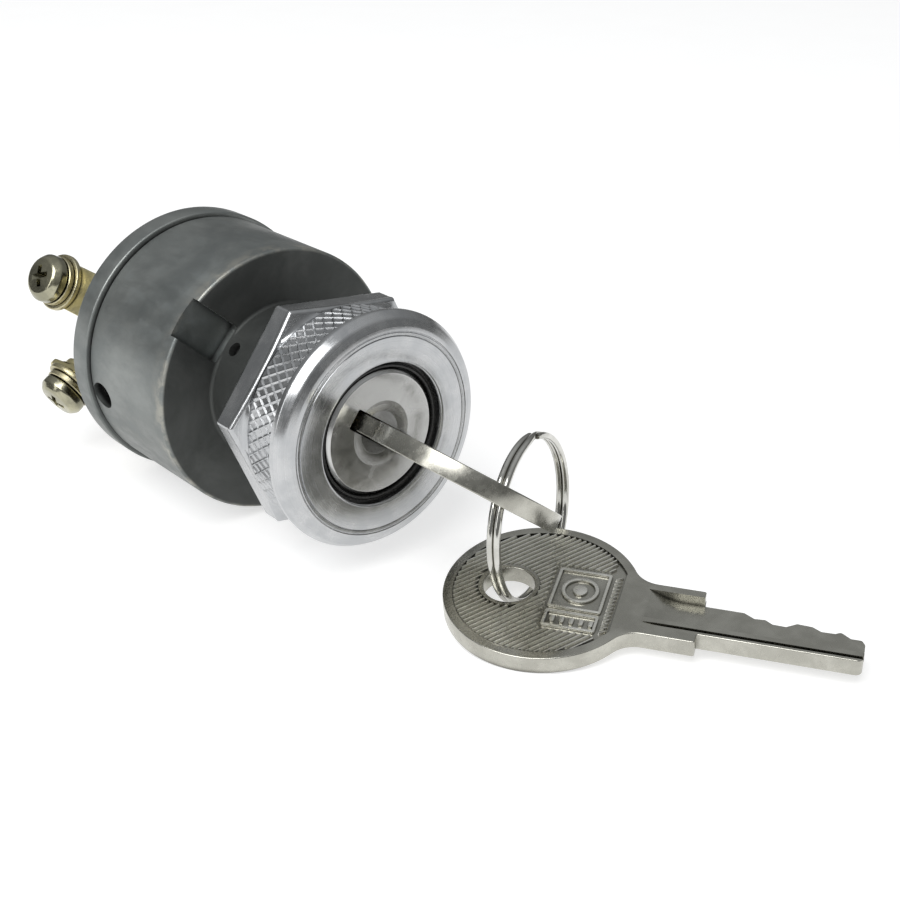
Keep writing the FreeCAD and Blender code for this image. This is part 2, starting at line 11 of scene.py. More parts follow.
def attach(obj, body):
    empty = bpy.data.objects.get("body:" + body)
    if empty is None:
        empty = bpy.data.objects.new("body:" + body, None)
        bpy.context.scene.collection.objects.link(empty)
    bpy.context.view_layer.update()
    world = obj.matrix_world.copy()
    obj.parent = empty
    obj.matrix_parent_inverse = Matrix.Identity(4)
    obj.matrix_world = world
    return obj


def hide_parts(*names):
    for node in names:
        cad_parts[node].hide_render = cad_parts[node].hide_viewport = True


MM = 0.001
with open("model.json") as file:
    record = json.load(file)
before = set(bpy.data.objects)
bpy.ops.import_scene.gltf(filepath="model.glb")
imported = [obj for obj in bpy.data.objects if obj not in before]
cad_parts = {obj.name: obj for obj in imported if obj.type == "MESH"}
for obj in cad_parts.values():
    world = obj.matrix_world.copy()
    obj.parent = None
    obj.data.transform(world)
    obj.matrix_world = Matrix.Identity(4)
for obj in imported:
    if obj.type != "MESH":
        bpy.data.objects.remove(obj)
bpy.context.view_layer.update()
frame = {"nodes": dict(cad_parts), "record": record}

# Driving sizes of the visual pieces, in millimetres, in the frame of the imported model.
KEY_ANGLE = math.radians(142.5)
NOTCH_ANGLE = math.radians(138.0)
WINDOW_ANGLE = math.radians(187.5)
HEX_ANGLE = math.radians(53.0)
TERMINAL_ANGLES = [math.radians(angle) for angle in (150.0, 210.0, 330.0, 30.0)]
KEY_THICKNESS = 2.35
FLOOR_Z = -19.2
FLOOR_SIZE = 6.0
FLOOR_GLOW = 0.6

# Turns that lay a prism's own z along another axis.
Z_TO_Y = Matrix(((1, 0, 0, 0), (0, 0, 1, 0), (0, -1, 0, 0), (0, 0, 0, 1)))
Z_TO_MINUS_Y = Matrix(((1, 0, 0, 0), (0, 0, -1, 0), (0, 1, 0, 0), (0, 0, 0, 1)))
Z_TO_X = Matrix(((0, 0, 1, 0), (0, 1, 0, 0), (-1, 0, 0, 0), (0, 0, 0, 1)))

# The camera stands where the reference view was taken from.
CAMERA_PLACE = Vector((-102.37, -154.60, 78.52)) * MM
CAMERA_LOOK = Vector((0.58715, 0.68208, -0.43591))
CAMERA_LENS = 58.23
CAMERA_SENSOR_WIDTH = 36.0
CAMERA_CLIP = (0.005, 20.0)

# The world's tone at the bottom, at heights between and at the top of the sky.
WORLD_BOTTOM = (0.13, 0.13, 0.125, 1.0)
WORLD_TOP = (0.50, 0.51, 0.52, 1.0)
WORLD_BETWEEN = ((0.40, 0.24), (0.72, 0.37))

# Area lights: name, place, target and size in metres, power in watts.
LIGHTS = (
    ("key_soft", (-0.55, -0.20, 0.80), (0.05, 0.05, 0.0), (0.70, 0.70), 7.0),
    ("left_strip", (-0.60, 0.02, 0.22), (0.0, 0.0, 0.0), (0.10, 0.34), 0.35))


# ---- camera, floor and light

def make_camera():
    data = bpy.data.cameras.new("view_camera")
    data.lens = CAMERA_LENS
    data.sensor_width = CAMERA_SENSOR_WIDTH
    data.clip_start, data.clip_end = CAMERA_CLIP
    camera = bpy.data.objects.new("view_camera", data)
    camera.location = CAMERA_PLACE
    camera.rotation_mode = "QUATERNION"
    camera.rotation_quaternion = CAMERA_LOOK.to_track_quat("-Z", "Y")
    bpy.context.scene.collection.objects.link(camera)
    bpy.context.scene.camera = camera


def area_light(name, place, target, size, power):
    data = bpy.data.lights.new(name, "AREA")
    data.shape = "RECTANGLE"
    data.size, data.size_y = size
    data.energy = power
    light = bpy.data.objects.new(name, data)
    light.location = place
    light.rotation_mode = "QUATERNION"
    light.rotation_quaternion = (Vector(target) - Vector(place)).to_track_quat("-Z", "Y")
    bpy.context.scene.collection.objects.link(light)


def make_lights():
    """One large soft light above the left shoulder and one narrow strip at the left."""
    for light in LIGHTS:
        area_light(*light)


def make_world():
    """A dim room that is brighter overhead."""
    scene = bpy.context.scene
    scene.view_settings.view_transform = "Standard"
    world = bpy.data.worlds.new("studio")
    scene.world = world
    world.use_nodes = True
    tree = world.node_tree
    background = tree.nodes["Background"]
    background.inputs["Strength"].default_value = 1.0
    direction = tree.nodes.new("ShaderNodeTexCoord")
    split = tree.nodes.new("ShaderNodeSeparateXYZ")
    ramp = tree.nodes.new("ShaderNodeValToRGB")
    tree.links.new(direction.outputs["Generated"], split.inputs[0])
    tree.links.new(split.outputs["Z"], ramp.inputs["Fac"])
    tree.links.new(ramp.outputs["Color"], background.inputs["Color"])
    stops = ramp.color_ramp.elements
    stops[0].position, stops[0].color = 0.0, WORLD_BOTTOM
    stops[1].position, stops[1].color = 1.0, WORLD_TOP
    for height, tone in WORLD_BETWEEN:
        stops.new(height).color = (tone, 1.02 * tone, 1.03 * tone, 1.0)


def make_floor():
    """A white table that glows a little, so that it stays even under the object."""
    bpy.ops.mesh.primitive_plane_add(size=FLOOR_SIZE, location=(0.0, 0.0, FLOOR_Z * MM))
    floor = bpy.context.object
    floor.name = "floor"
    paint = Shader("floor_white")
    paint.set(base=(0.62, 0.62, 0.62), roughness=0.8,
              Emission_Color=(1.0, 1.0, 1.0, 1.0), Emission_Strength=FLOOR_GLOW)
    grain = paint.noise(paint.place(), 60.0, 4.0)
    paint.link("Base Color", paint.mix(grain, (0.60, 0.60, 0.60), (0.64, 0.64, 0.64)))
    floor.data.materials.append(paint.material)


# ---- materials

class Shader:
    """A node material with short calls for the parts that every finish here is made of."""

    def __init__(self, name):
        self.material = bpy.data.materials.new(name)
        self.material.use_nodes = True
        self.tree = self.material.node_tree
        self.surface = self.tree.nodes["Principled BSDF"]
        self.bumps = None

    def set(self, base=None, metallic=None, roughness=None, **others):
        sockets = {"Base Color": base and (*base, 1.0), "Metallic": metallic, "Roughness": roughness}
        sockets.update({name.replace("_", " "): setting for name, setting in others.items()})
        for name, setting in sockets.items():
            if setting is not None:
                self.surface.inputs[name].default_value = setting

    def node(self, kind, inputs=(), **settings):
        item = self.tree.nodes.new(kind)
        for name, setting in settings.items():
            setattr(item, name, setting)
        for socket, source in dict(inputs).items():
            if isinstance(source, bpy.types.NodeSocket):
                self.tree.links.new(source, item.inputs[socket])
            else:
                item.inputs[socket].default_value = source
        return item

    def math(self, operation, first, second=0.0):
        return self.node("ShaderNodeMath", {0: first, 1: second}, operation=operation).outputs[0]

    def blend(self, first, share, second):
        """A weighted sum of two values: share of the first and the rest of the second."""
        rest = self.math("MULTIPLY", second, 1.0 - share)
        return self.math("ADD", self.math("MULTIPLY", first, share), rest)

    def place(self):
        """Object coordinates, in metres."""
        return self.node("ShaderNodeTexCoord").outputs["Object"]

    def scaled(self, vector, scale):
        item = self.node("ShaderNodeVectorMath", {0: vector, 1: scale}, operation="MULTIPLY")
        return item.outputs[0]

    def noise(self, vector, scale, detail=3.0, roughness=0.5, distortion=0.0):
        item = self.node("ShaderNodeTexNoise", {
            "Vector": vector, "Scale": scale, "Detail": detail, "Roughness": roughness,
            "Distortion": distortion})
        return item.outputs["Fac"]

    def step(self, value, low, high, bottom=0.0, top=1.0):
        """A smooth ramp of a value from bottom at low to top at high."""
        item = self.node("ShaderNodeMapRange", {
            "Value": value, "From Min": low, "From Max": high, "To Min": bottom, "To Max": top},
            interpolation_type="SMOOTHSTEP")
        return item.outputs["Result"]

    def mix(self, factor, first, second):
        item = self.node("ShaderNodeMix", data_type="RGBA")
        for socket, source in ((0, factor), (6, first), (7, second)):
            if isinstance(source, bpy.types.NodeSocket):
                self.tree.links.new(source, item.inputs[socket])
            elif isinstance(source, tuple):
                item.inputs[socket].default_value = (*source, 1.0)
            else:
                item.inputs[socket].default_value = source
        return item.outputs[2]

    def link(self, socket, source):
        self.tree.links.new(source, self.surface.inputs[socket])

    def bump(self, height, distance, strength=1.0):
        """Adds a bump on top of the earlier ones; distance is in metres."""
        inputs = {"Height": height, "Distance": distance, "Strength": strength}
        if self.bumps is not None:
            inputs["Normal"] = self.bumps
        self.bumps = self.node("ShaderNodeBump", inputs).outputs["Normal"]
        self.link("Normal", self.bumps)

    def crease_shade(self, distance):
        """Close to 1 in corners and grooves and 0 on open surfaces; the mask for painted shade there."""
        item = self.node("ShaderNodeAmbientOcclusion", {"Distance": distance}, samples=8)
        return self.math("SUBTRACT", 1.0, self.step(item.outputs["AO"], 0.25, 0.95))

    def from_axis(self, vector):
        """A place's distance from the switch axis, its y and its z."""
        x, y, z = self.node("ShaderNodeSeparateXYZ", {0: vector}).outputs
        squares = self.math("ADD", self.math("MULTIPLY", x, x), self.math("MULTIPLY", z, z))
        return self.math("SQRT", squares), y, z

    def turned(self, radius, y, fine):
        """Streaks that run round the switch axis, as a lathe tool leaves them."""
        flat = self.node("ShaderNodeCombineXYZ", {0: radius, 1: y, 2: 0.0}).outputs[0]
        return self.noise(flat, fine, 2.0, 0.7)


def zinc_material():
    """Grey die-cast zinc: blotchy oxide, cast grain, front edge rubbed lighter; painted shade on the front
    face, inside and towards the bottom, and in corners and grooves.
    """
    m = Shader("zinc_casting")
    m.set(base=(0.30, 0.32, 0.32), metallic=0.85, roughness=0.45)
    place = m.place()
    cloud = m.noise(place, 75.0, 5.0, 0.6, 0.4)
    stain = m.noise(m.scaled(place, (1.0, 0.45, 1.0)), 420.0, 4.0, 0.65)
    grain = m.noise(place, 5200.0, 3.0, 0.7)
    across, y, z = m.from_axis(place)
    tone = m.mix(m.step(cloud, 0.35, 0.68), (0.21, 0.226, 0.222), (0.31, 0.325, 0.314))
    # Painted shade: darker towards the bottom of the casting, where little light reaches.
    tone = m.mix(m.step(z, 8.0 * MM, -15.0 * MM, 0.0, 0.62), tone, (0.070, 0.076, 0.072))
    tone = m.mix(m.step(stain, 0.52, 0.75, 0.0, 0.3), tone, (0.25, 0.275, 0.28))
    rubbed = m.math("MULTIPLY", m.step(across, 17.7 * MM, 18.5 * MM), m.step(y, 3.2 * MM, 0.1 * MM))
    rubbed = m.math("MULTIPLY", rubbed, m.step(m.noise(place, 500.0, 4.0, 0.6), 0.40, 0.66))
    tone = m.mix(m.math("MULTIPLY", rubbed, 0.6), tone, (0.47, 0.45, 0.39))
    # Painted shade on the front face, which faces away from the lights; the same mask also roughens the face.
    front = m.math("MULTIPLY", m.step(y, 0.35 * MM, 0.0), m.step(across, 18.5 * MM, 18.1 * MM))
    front_shade_tone = m.mix(m.step(cloud, 0.35, 0.7), (0.055, 0.058, 0.055), (0.10, 0.104, 0.10))
    tone = m.mix(m.math("MULTIPLY", front, 0.9), tone, front_shade_tone)
    # Painted shade on the inner wall, seen through the oval windows.
    inside = m.math("MULTIPLY", m.step(across, 18.3 * MM, 17.7 * MM), m.step(y, 3.0 * MM, 4.0 * MM))
    inside = m.math("MULTIPLY", inside, m.step(y, 22.4 * MM, 22.0 * MM))
    tone = m.mix(inside, tone, (0.030, 0.031, 0.030))
    # Painted shade in corners and grooves.
    tone = m.mix(m.crease_shade(1.2 * MM), tone, (0.06, 0.062, 0.06))
    m.link("Base Color", tone)
    rough = m.step(stain, 0.3, 0.75, 0.36, 0.56)
    m.link("Roughness", m.mix(front, rough, (0.62, 0.62, 0.62)))
    m.bump(grain, 0.000010, 0.5)
    m.bump(stain, 0.00005, 0.3)
    return m.material


def nut_material():
    """Polished aluminium with fine turning marks, and painted shade between the lines of the knurl and in
    other corners.
    """
    m = Shader("polished_nut")
    m.set(base=(0.80, 0.81, 0.83), metallic=1.0, roughness=0.2)
    place = m.place()
    radius, y, _ = m.from_axis(place)
    streaks = m.turned(radius, y, 5200.0)
    blot = m.noise(place, 300.0, 4.0, 0.6)
    tone = m.mix(m.step(blot, 0.35, 0.7), (0.46, 0.47, 0.48), (0.57, 0.575, 0.58))
    tone = m.mix(m.step(streaks, 0.35, 0.7, 0.0, 0.3), tone, (0.42, 0.43, 0.44))
    # Painted shade between the knurl's raised lines and in other corners.
    tone = m.mix(m.crease_shade(0.5 * MM), tone, (0.13, 0.135, 0.145))
    m.link("Base Color", tone)
    m.link("Roughness", m.step(m.blend(streaks, 0.5, blot), 0.3, 0.7, 0.16, 0.32))
    turned_part = m.step(y, -19.6 * MM, -19.9 * MM)
    m.bump(m.math("MULTIPLY", streaks, turned_part), 0.000004, 0.25)
    return m.material


def cap_material():
    """Stainless face with visible concentric turning, a painted highlight on its rim, painted shade in
    corners and a darker dish from wear and a painted reflection of the key.
    """
    m = Shader("cap_steel")
    m.set(base=(0.70, 0.70, 0.69), metallic=1.0, roughness=0.2, Anisotropic=0.55)
    place = m.place()
    radius, y, _ = m.from_axis(place)
    streaks = m.turned(radius, y, 3800.0)
    smear = m.noise(place, 260.0, 4.0, 0.6, 0.8)
    tangent = m.node("ShaderNodeTangent", direction_type="RADIAL", axis="Y")
    m.link("Tangent", tangent.outputs[0])
    tone = m.mix(m.step(smear, 0.35, 0.7), (0.37, 0.37, 0.36), (0.48, 0.48, 0.47))
    # Dark patch in the dish round the slot: partly handling wear, partly a painted dark reflection of the
    # key.
    dish_wear_and_reflection = m.math("MULTIPLY", m.step(radius, 4.5 * MM, 2.4 * MM), m.step(smear, 0.25, 0.6, 0.35, 1.0))
    tone = m.mix(m.math("MULTIPLY", dish_wear_and_reflection, 0.85), tone, (0.15, 0.15, 0.145))
    # Painted highlight on the cap's rounded rim.
    tone = m.mix(m.step(radius, 7.75 * MM, 8.1 * MM, 0.0, 0.5), tone, (0.75, 0.75, 0.74))
    # Painted shade in corners and grooves.
    tone = m.mix(m.crease_shade(1.0 * MM), tone, (0.10, 0.10, 0.10))
    m.link("Base Color", tone)
    m.link("Roughness", m.step(smear, 0.3, 0.75, 0.15, 0.30))
    m.bump(streaks, 0.000005, 0.35)
    return m.material


def nickel_material(name, light, dark, rough, crease_reach, crease_shade_tone):
    """Tumbled nickel plate: soft sheen, small dents, painted shade in corners and grooves."""
    m = Shader(name)
    m.set(base=light, metallic=1.0, roughness=0.25)
    place = m.place()
    cloud = m.noise(place, 230.0, 5.0, 0.6, 0.3)
    wear = m.noise(place, 1500.0, 4.0, 0.65)
    scratch = m.noise(m.scaled(place, (1.0, 4.0, 2.0)), 420.0, 2.0, 0.5)
    tone = m.mix(m.step(cloud, 0.35, 0.7), dark, light)
    tone = m.mix(m.step(wear, 0.55, 0.75, 0.0, 0.4), tone, dark)
    # Painted shade in corners and grooves.
    tone = m.mix(m.crease_shade(crease_reach), tone, crease_shade_tone)
    m.link("Base Color", tone)
    m.link("Roughness", m.step(m.blend(wear, 0.6, scratch), 0.32, 0.68, *rough))
    m.bump(wear, 0.000002, 0.2)
    return m.material


def plated_material(name, base, tint, rough=(0.22, 0.45)):
    """Zinc-plated and passivated steel or pressed brass: patchy colour, a light grain and painted shade in
    corners and grooves.
    """
    m = Shader(name)
    m.set(base=base, metallic=1.0, roughness=0.35)
    place = m.place()
    patch = m.noise(place, 260.0, 4.0, 0.6, 0.6)
    fine = m.noise(place, 2400.0, 4.0, 0.7)
    tone = m.mix(m.step(patch, 0.35, 0.68), base, tint)
    tone = m.mix(m.step(fine, 0.55, 0.8, 0.0, 0.35), tone, tuple(0.55 * part for part in base))
    # Painted shade in corners and grooves.
    tone = m.mix(m.crease_shade(0.5 * MM), tone, tuple(0.22 * part for part in base))
    m.link("Base Color", tone)
    m.link("Roughness", m.step(fine, 0.3, 0.7, *rough))
    m.bump(fine, 0.000006, 0.3)
    return m.material


def moulded_material(name, base, fleck, rough=(0.35, 0.55)):
    """Moulded plastic or rubber: faint flow marks, fine grain."""
    m = Shader(name)
    m.set(base=base, metallic=0.0, roughness=0.45)
    place = m.place()
    flow = m.noise(place, 180.0, 4.0, 0.55, 1.2)
    fine = m.noise(place, 3600.0, 3.0, 0.6)
    tone = m.mix(m.step(flow, 0.35, 0.7), base, fleck)
    m.link("Base Color", m.mix(m.step(fine, 0.5, 0.8, 0.0, 0.3), tone, fleck))
    m.link("Roughness", m.step(fine, 0.3, 0.7, *rough))
    m.bump(fine, 0.000008, 0.35)
    return m.material


# Two tones, range of roughness, reach of the crease shadow and its tone.
NICKEL = {
    "key_nickel": ((0.52, 0.512, 0.46), (0.40, 0.393, 0.35), (0.19, 0.31), 0.9 * MM, (0.075, 0.072, 0.06)),
    # Lighter copy of the key nickel for the raised work: a painted highlight on ribs, hatching and frames.
    "key_relief": ((0.93, 0.92, 0.86), (0.78, 0.77, 0.71), (0.22, 0.38), 0.3 * MM, (0.17, 0.165, 0.14)),
    "ring_steel": ((0.66, 0.655, 0.62), (0.50, 0.495, 0.46), (0.07, 0.20), 0.3 * MM, (0.17, 0.165, 0.14))}
# Two tones and, where it isn't the usual one, the range of roughness.
PLATED = {
    "spring_steel": ((0.07, 0.07, 0.072), (0.12, 0.12, 0.12)),
    "screw_steel": ((0.30, 0.29, 0.215), (0.46, 0.44, 0.32), (0.12, 0.28)),
    "washer_steel": ((0.44, 0.40, 0.25), (0.56, 0.52, 0.36)),
    "terminal_brass": ((0.56, 0.50, 0.27), (0.66, 0.60, 0.36), (0.28, 0.5)),
    "plug_brass": ((0.72, 0.56, 0.28), (0.80, 0.66, 0.38))}
MOULDED = {
    "seal_rubber": ((0.012, 0.012, 0.012), (0.022, 0.022, 0.021), (0.22, 0.4)),
    "phenolic": ((0.020, 0.016, 0.013), (0.035, 0.028, 0.022), (0.25, 0.45)),
    "rotor_nylon": ((0.72, 0.69, 0.60), (0.80, 0.78, 0.70))}


def make_materials():
    """A finish for every material slot, and a lighter copy of the key nickel that paints highlights on the
    raised work of the keys.
    """
    finishes = {"zinc_casting": zinc_material(), "polished_nut": nut_material(), "cap_steel": cap_material()}
    for make, looks in ((nickel_material, NICKEL), (plated_material, PLATED), (moulded_material, MOULDED)):
        for name, look in looks.items():
            finishes[name] = make(name, *look)
    return finishes


# ---- mesh helpers, all in millimetres

MERGE_DISTANCE = 0.0005 * MM
SHORTEN_LIMIT = 0.48


def fillet(points, closed=True, steps=5):
    """Rounds the corners of a polygon: each point is (x, y) or (x, y, radius)."""
    count = len(points)
    rounded = []
    for index, point in enumerate(points):
        here = Vector(point[:2])
        radius = point[2] if len(point) > 2 else 0.0
        if radius <= 0.0 or (not closed and index in (0, count - 1)):
            rounded.append(here)
            continue
        back = Vector(points[index - 1][:2]) - here
        ahead = Vector(points[(index + 1) % count][:2]) - here
        half = back.angle(ahead) / 2
        reach = min(radius / math.tan(half), SHORTEN_LIMIT * back.length, SHORTEN_LIMIT * ahead.length)
        radius = reach * math.tan(half)
        start = here + back.normalized() * reach
        end = here + ahead.normalized() * reach
        centre = here + (back.normalized() + ahead.normalized()).normalized() * (radius / math.sin(half))
        sweep = (start - centre).angle_signed(end - centre)
        for step in range(steps + 1):
            turn = -sweep * step / steps
            spoke = start - centre
            rounded.append(centre + Vector((spoke.x * math.cos(turn) - spoke.y * math.sin(turn),
                                            spoke.x * math.sin(turn) + spoke.y * math.cos(turn))))
    return rounded


def mesh_object(name, vertices, faces):
    mesh = bpy.data.meshes.new(name)
    mesh.from_pydata([Vector(vertex) * MM for vertex in vertices], [], faces)
    mesh.validate()
    item = bpy.data.objects.new(name, mesh)
    bpy.context.scene.collection.objects.link(item)
    return item


def shade(item, smooth_angle):
    """Shades smooth, except along edges that bend by more than an angle in degrees."""
    for face in item.data.polygons:
        face.use_smooth = True
    item.data.set_sharp_from_angle(angle=math.radians(smooth_angle))
    return item


def tidy(item, smooth_angle=32.0):
    """Merges doubles, turns the normals outward and shades smooth below an angle."""
    work = bmesh.new()
    work.from_mesh(item.data)
    bmesh.ops.remove_doubles(work, verts=work.verts, dist=MERGE_DISTANCE)
    bmesh.ops.dissolve_degenerate(work, edges=work.edges, dist=MERGE_DISTANCE)
    bmesh.ops.recalc_face_normals(work, faces=work.faces)
    work.to_mesh(item.data)
    work.free()
    return shade(item, smooth_angle)


def grid(name, rows, closed_across=True, closed_along=True):
    """A mesh from rows of points: each row is a loop or a line of the same number of points."""
    count = len(rows[0])
    vertices = [point for row in rows for point in row]
    faces = []
    last_row = len(rows) if closed_along else len(rows) - 1
    last = count if closed_across else count - 1
    for row in range(last_row):
        ahead = (row + 1) % len(rows)
        for column in range(last):
            beside = (column + 1) % count
            faces.append((row * count + column, row * count + beside,
                          ahead * count + beside, ahead * count + column))
    return mesh_object(name, vertices, faces)


def swept(name, rows, smooth_angle=32.0):
    """A closed bar of any section, from rows that run from one end to the other."""
    item = grid(name, rows, closed_along=False)
    work = bmesh.new()
    work.from_mesh(item.data)
    bmesh.ops.holes_fill(work, edges=[edge for edge in work.edges if edge.is_boundary])
    work.to_mesh(item.data)
    work.free()
    return tidy(item, smooth_angle)


def four_sided(name, rows):
    """A closed bar from rows of four points."""
    vertices = [point for row in rows for point in row]
    last = 4 * (len(rows) - 1)
    faces = [(0, 1, 2, 3), (last + 3, last + 2, last + 1, last)]
    for row in range(len(rows) - 1):
        for column in range(4):
            beside = (column + 1) % 4
            faces.append((4 * row + column, 4 * (row + 1) + column,
                          4 * (row + 1) + beside, 4 * row + beside))
    return mesh_object(name, vertices, faces)


def round_y(radius, y, angle):
    """A place beside the switch axis."""
    return (radius * math.cos(angle), y, radius * math.sin(angle))


def round_z(radius, z, angle):
    """A place beside the upright axis that a loose fastener stands on."""
    return (radius * math.cos(angle), radius * math.sin(angle), z)


def lathe(name, profile, segments, spot=round_y):
    """A closed (radius, height) profile turned about the switch axis, or about z with round_z."""
    rows = []
    for step in range(segments):
        angle = 2 * math.pi * step / segments
        rows.append([spot(max(point[0], 0.0), point[1], angle) for point in profile])
    return tidy(grid(name, rows))


def prism(name, outline, low, high):
    """A closed (x, y) outline raised from low to high along z."""
    count = len(outline)
    vertices = [(point[0], point[1], z) for z in (low, high) for point in outline]
    faces = [tuple(range(count - 1, -1, -1)), tuple(range(count, 2 * count))]
    for index in range(count):
        ahead = (index + 1) % count
        faces.append((index, ahead, count + ahead, count + index))
    return mesh_object(name, vertices, faces)


def plate(name, outlines, low, high, bevel=0.0, bevel_steps=2):
    """A flat plate from one outline and any holes, with bevelled rims."""
    curve = bpy.data.curves.new(name, "CURVE")
    curve.dimensions = "2D"
    curve.fill_mode = "BOTH"
    curve.extrude = ((high - low) / 2 - bevel) * MM
    curve.bevel_depth = bevel * MM
    curve.bevel_resolution = bevel_steps
    curve.offset = -bevel * MM
    for outline in outlines:
        spline = curve.splines.new("POLY")
        spline.points.add(len(outline) - 1)
        spline.use_cyclic_u = True
        for point, place in zip(spline.points, outline):
            point.co = (place[0] * MM, place[1] * MM, 0.0, 1.0)
    holder = bpy.data.objects.new(name + "_curve", curve)
    bpy.context.scene.collection.objects.link(holder)
    mesh = bpy.data.meshes.new_from_object(holder.evaluated_get(bpy.context.evaluated_depsgraph_get()))
    bpy.data.objects.remove(holder)
    mesh.transform(Matrix.Translation((0.0, 0.0, (low + high) / 2 * MM)))
    item = bpy.data.objects.new(name, mesh)
    bpy.context.scene.collection.objects.link(item)
    return tidy(item)


def arc(radius, start, end, steps=96):
    """Points on a circle about the origin, both ends included."""
    angles = [start + (end - start) * step / steps for step in range(steps + 1)]
    return [(radius * math.cos(angle), radius * math.sin(angle)) for angle in angles]


def circle(radius, centre=(0.0, 0.0), count=64):
    return [(centre[0] + radius * math.cos(2 * math.pi * step / count),
             centre[1] + radius * math.sin(2 * math.pi * step / count)) for step in range(count)]


def apply_modifiers(item):
    graph = bpy.context.evaluated_depsgraph_get()
    mesh = bpy.data.meshes.new_from_object(item.evaluated_get(graph))
    item.modifiers.clear()
    item.data = mesh
    return item


def cut_away(item, tools):
    """Cuts the tools out of a piece and removes them."""
    for tool in tools:
        change = item.modifiers.new("cut", "BOOLEAN")
        change.operation = "DIFFERENCE"
        change.solver = "EXACT"
        change.object = tool
        apply_modifiers(item)
        bpy.data.objects.remove(tool)
    return tidy(item)


def moved(item, matrix):
    """Applies a matrix in millimetres to the mesh itself."""
    place = matrix.copy()
    place.translation = matrix.translation * MM
    item.data.transform(place)
    return item


def join(name, items):
    """One object from several, keeping each mesh as it is."""
    work = bmesh.new()
    for item in items:
        work.from_mesh(item.data)
        bpy.data.objects.remove(item)
    mesh = bpy.data.meshes.new(name)
    work.to_mesh(mesh)
    work.free()
    joined = bpy.data.objects.new(name, mesh)
    bpy.context.scene.collection.objects.link(joined)
    return joined


def about_axis(angle):
    """The turn that carries +X to the given angle from +X towards +Z."""
    return Matrix.Rotation(-angle, 4, "Y")


def frame_matrix(origin, x_axis, y_axis):
    """Carries the origin, +X and roughly +Y of a piece's own drawing to the given ones."""
    x_axis = Vector(x_axis).normalized()
    z_axis = x_axis.cross(Vector(y_axis)).normalized()
    y_axis = z_axis.cross(x_axis)
    matrix = Matrix((x_axis, y_axis, z_axis)).transposed().to_4x4()
    matrix.translation = Vector(origin)
    return matrix


def finish_piece(item, body, slot, *nodes, finish=None):
    """Gives a piece its material, its body and the CAD nodes that it stands for."""
    item.data.materials.clear()
    item.data.materials.append(MATERIALS[finish or slot])
    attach(item, body)
    if nodes:
        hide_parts(*nodes)


# ---- housing

# (radius, y, rounding) of the casting, from the front collar round the outside and back up the bore.
HOUSING = [
    (7.95, -20.9), (10.3, -20.9, 0.1), (10.9, -20.3, 0.1), (10.9, -9.4), (11.0, -9.3), (11.0, 0.0, 0.5),
    (18.6, 0.0, 0.45), (18.6, 18.9, 0.15), (18.2, 18.95, 0.1), (18.2, 19.25, 0.1), (19.2, 19.3, 0.3),
    (19.2, 23.4, 0.9), (16.4, 23.4, 0.3), (16.4, 22.52, 0.1), (17.33, 22.5), (17.35, 18.2),
    (16.0, 18.2, 0.2), (16.0, 3.2, 0.8), (7.95, 3.2)]
NOTCH_HALF = 2.8
WINDOW_Y = 16.5
WINDOW_HALF = (1.85, 2.3)


def make_housing():
    """The casting with its front notch, the pin hole and two oval windows."""
    housing = lathe("housing_casting", fillet(HOUSING), 240)
    notch = prism("notch_tool", fillet([
        (10.9, -NOTCH_HALF, 0.3), (20.0, -NOTCH_HALF),
        (20.0, NOTCH_HALF), (10.9, NOTCH_HALF, 0.3)]), -2.0, 1.3)
    moved(notch, about_axis(NOTCH_ANGLE) @ Z_TO_Y)
    tools = [notch, radial_tool("pin_tool", circle(1.0, (0.0, -1.9)), 8.3, 12.5, NOTCH_ANGLE)]
    for angle in (WINDOW_ANGLE, WINDOW_ANGLE + math.pi):
        oval = [(WINDOW_HALF[0] * x, WINDOW_Y + WINDOW_HALF[1] * y) for x, y in circle(1.0, count=48)]
        tools.append(radial_tool("window_tool", oval, 15.0, 20.0, angle))
    cut_away(housing, tools)
    finish_piece(housing, "switch_body", "zinc_casting", "housing")


def radial_tool(name, outline, inner, outer, angle):
    """A prism that points out from the axis; its outline is (across, y)."""
    return moved(prism(name, outline, inner, outer), about_axis(angle) @ Z_TO_X)


# ---- bezel nut

KNURL_STARTS = 62
KNURL_SAMPLES = 16
KNURL_REAR = -13.95
KNURL_FRONT = -19.65
KNURL_LEAN = 0.67
KNURL_DEPTH = 0.17
KNURL_HALF_WIDTH = 3.0 / KNURL_SAMPLES
KNURL_FADE_ROWS = 1.5
DRUM_RADIUS = 14.68
HEX_FLAT = 14.3
HEX_CORNER = 16.45
HEX_REAR = -9.5
HEX_FRONT = -13.15
HOLLOW = (14.45, -13.72)
NUT_BORE = 10.95


def knurl_lines(angle, y):
    """How high each of the two families of crossing raised lines is at a place, from 0 to 1."""
    along = (y - KNURL_REAR) * KNURL_LEAN / DRUM_RADIUS
    heights = []
    for lean in (-1.0, 1.0):
        phase = (angle - HEX_ANGLE + lean * along) * KNURL_STARTS / (2 * math.pi)
        heights.append(max(0.0, 1.0 - abs(phase - round(phase)) / KNURL_HALF_WIDTH))
    return heights


# Steps (outward, along y) from the hexagon's surface: rear rounding, then the ridge in front of the flat.
HEX_REAR_ROUNDING = ((-0.45, -0.02), (-0.12, -0.14), (0.0, -0.4), (0.0, -0.55))
HEX_RIDGE = ((0.0, 0.62), (0.0, 0.5), (0.05, 0.36), (0.07, 0.18), (0.02, 0.0), (-0.10, -0.17), (-0.26, -0.29),
             (-0.44, -0.34))


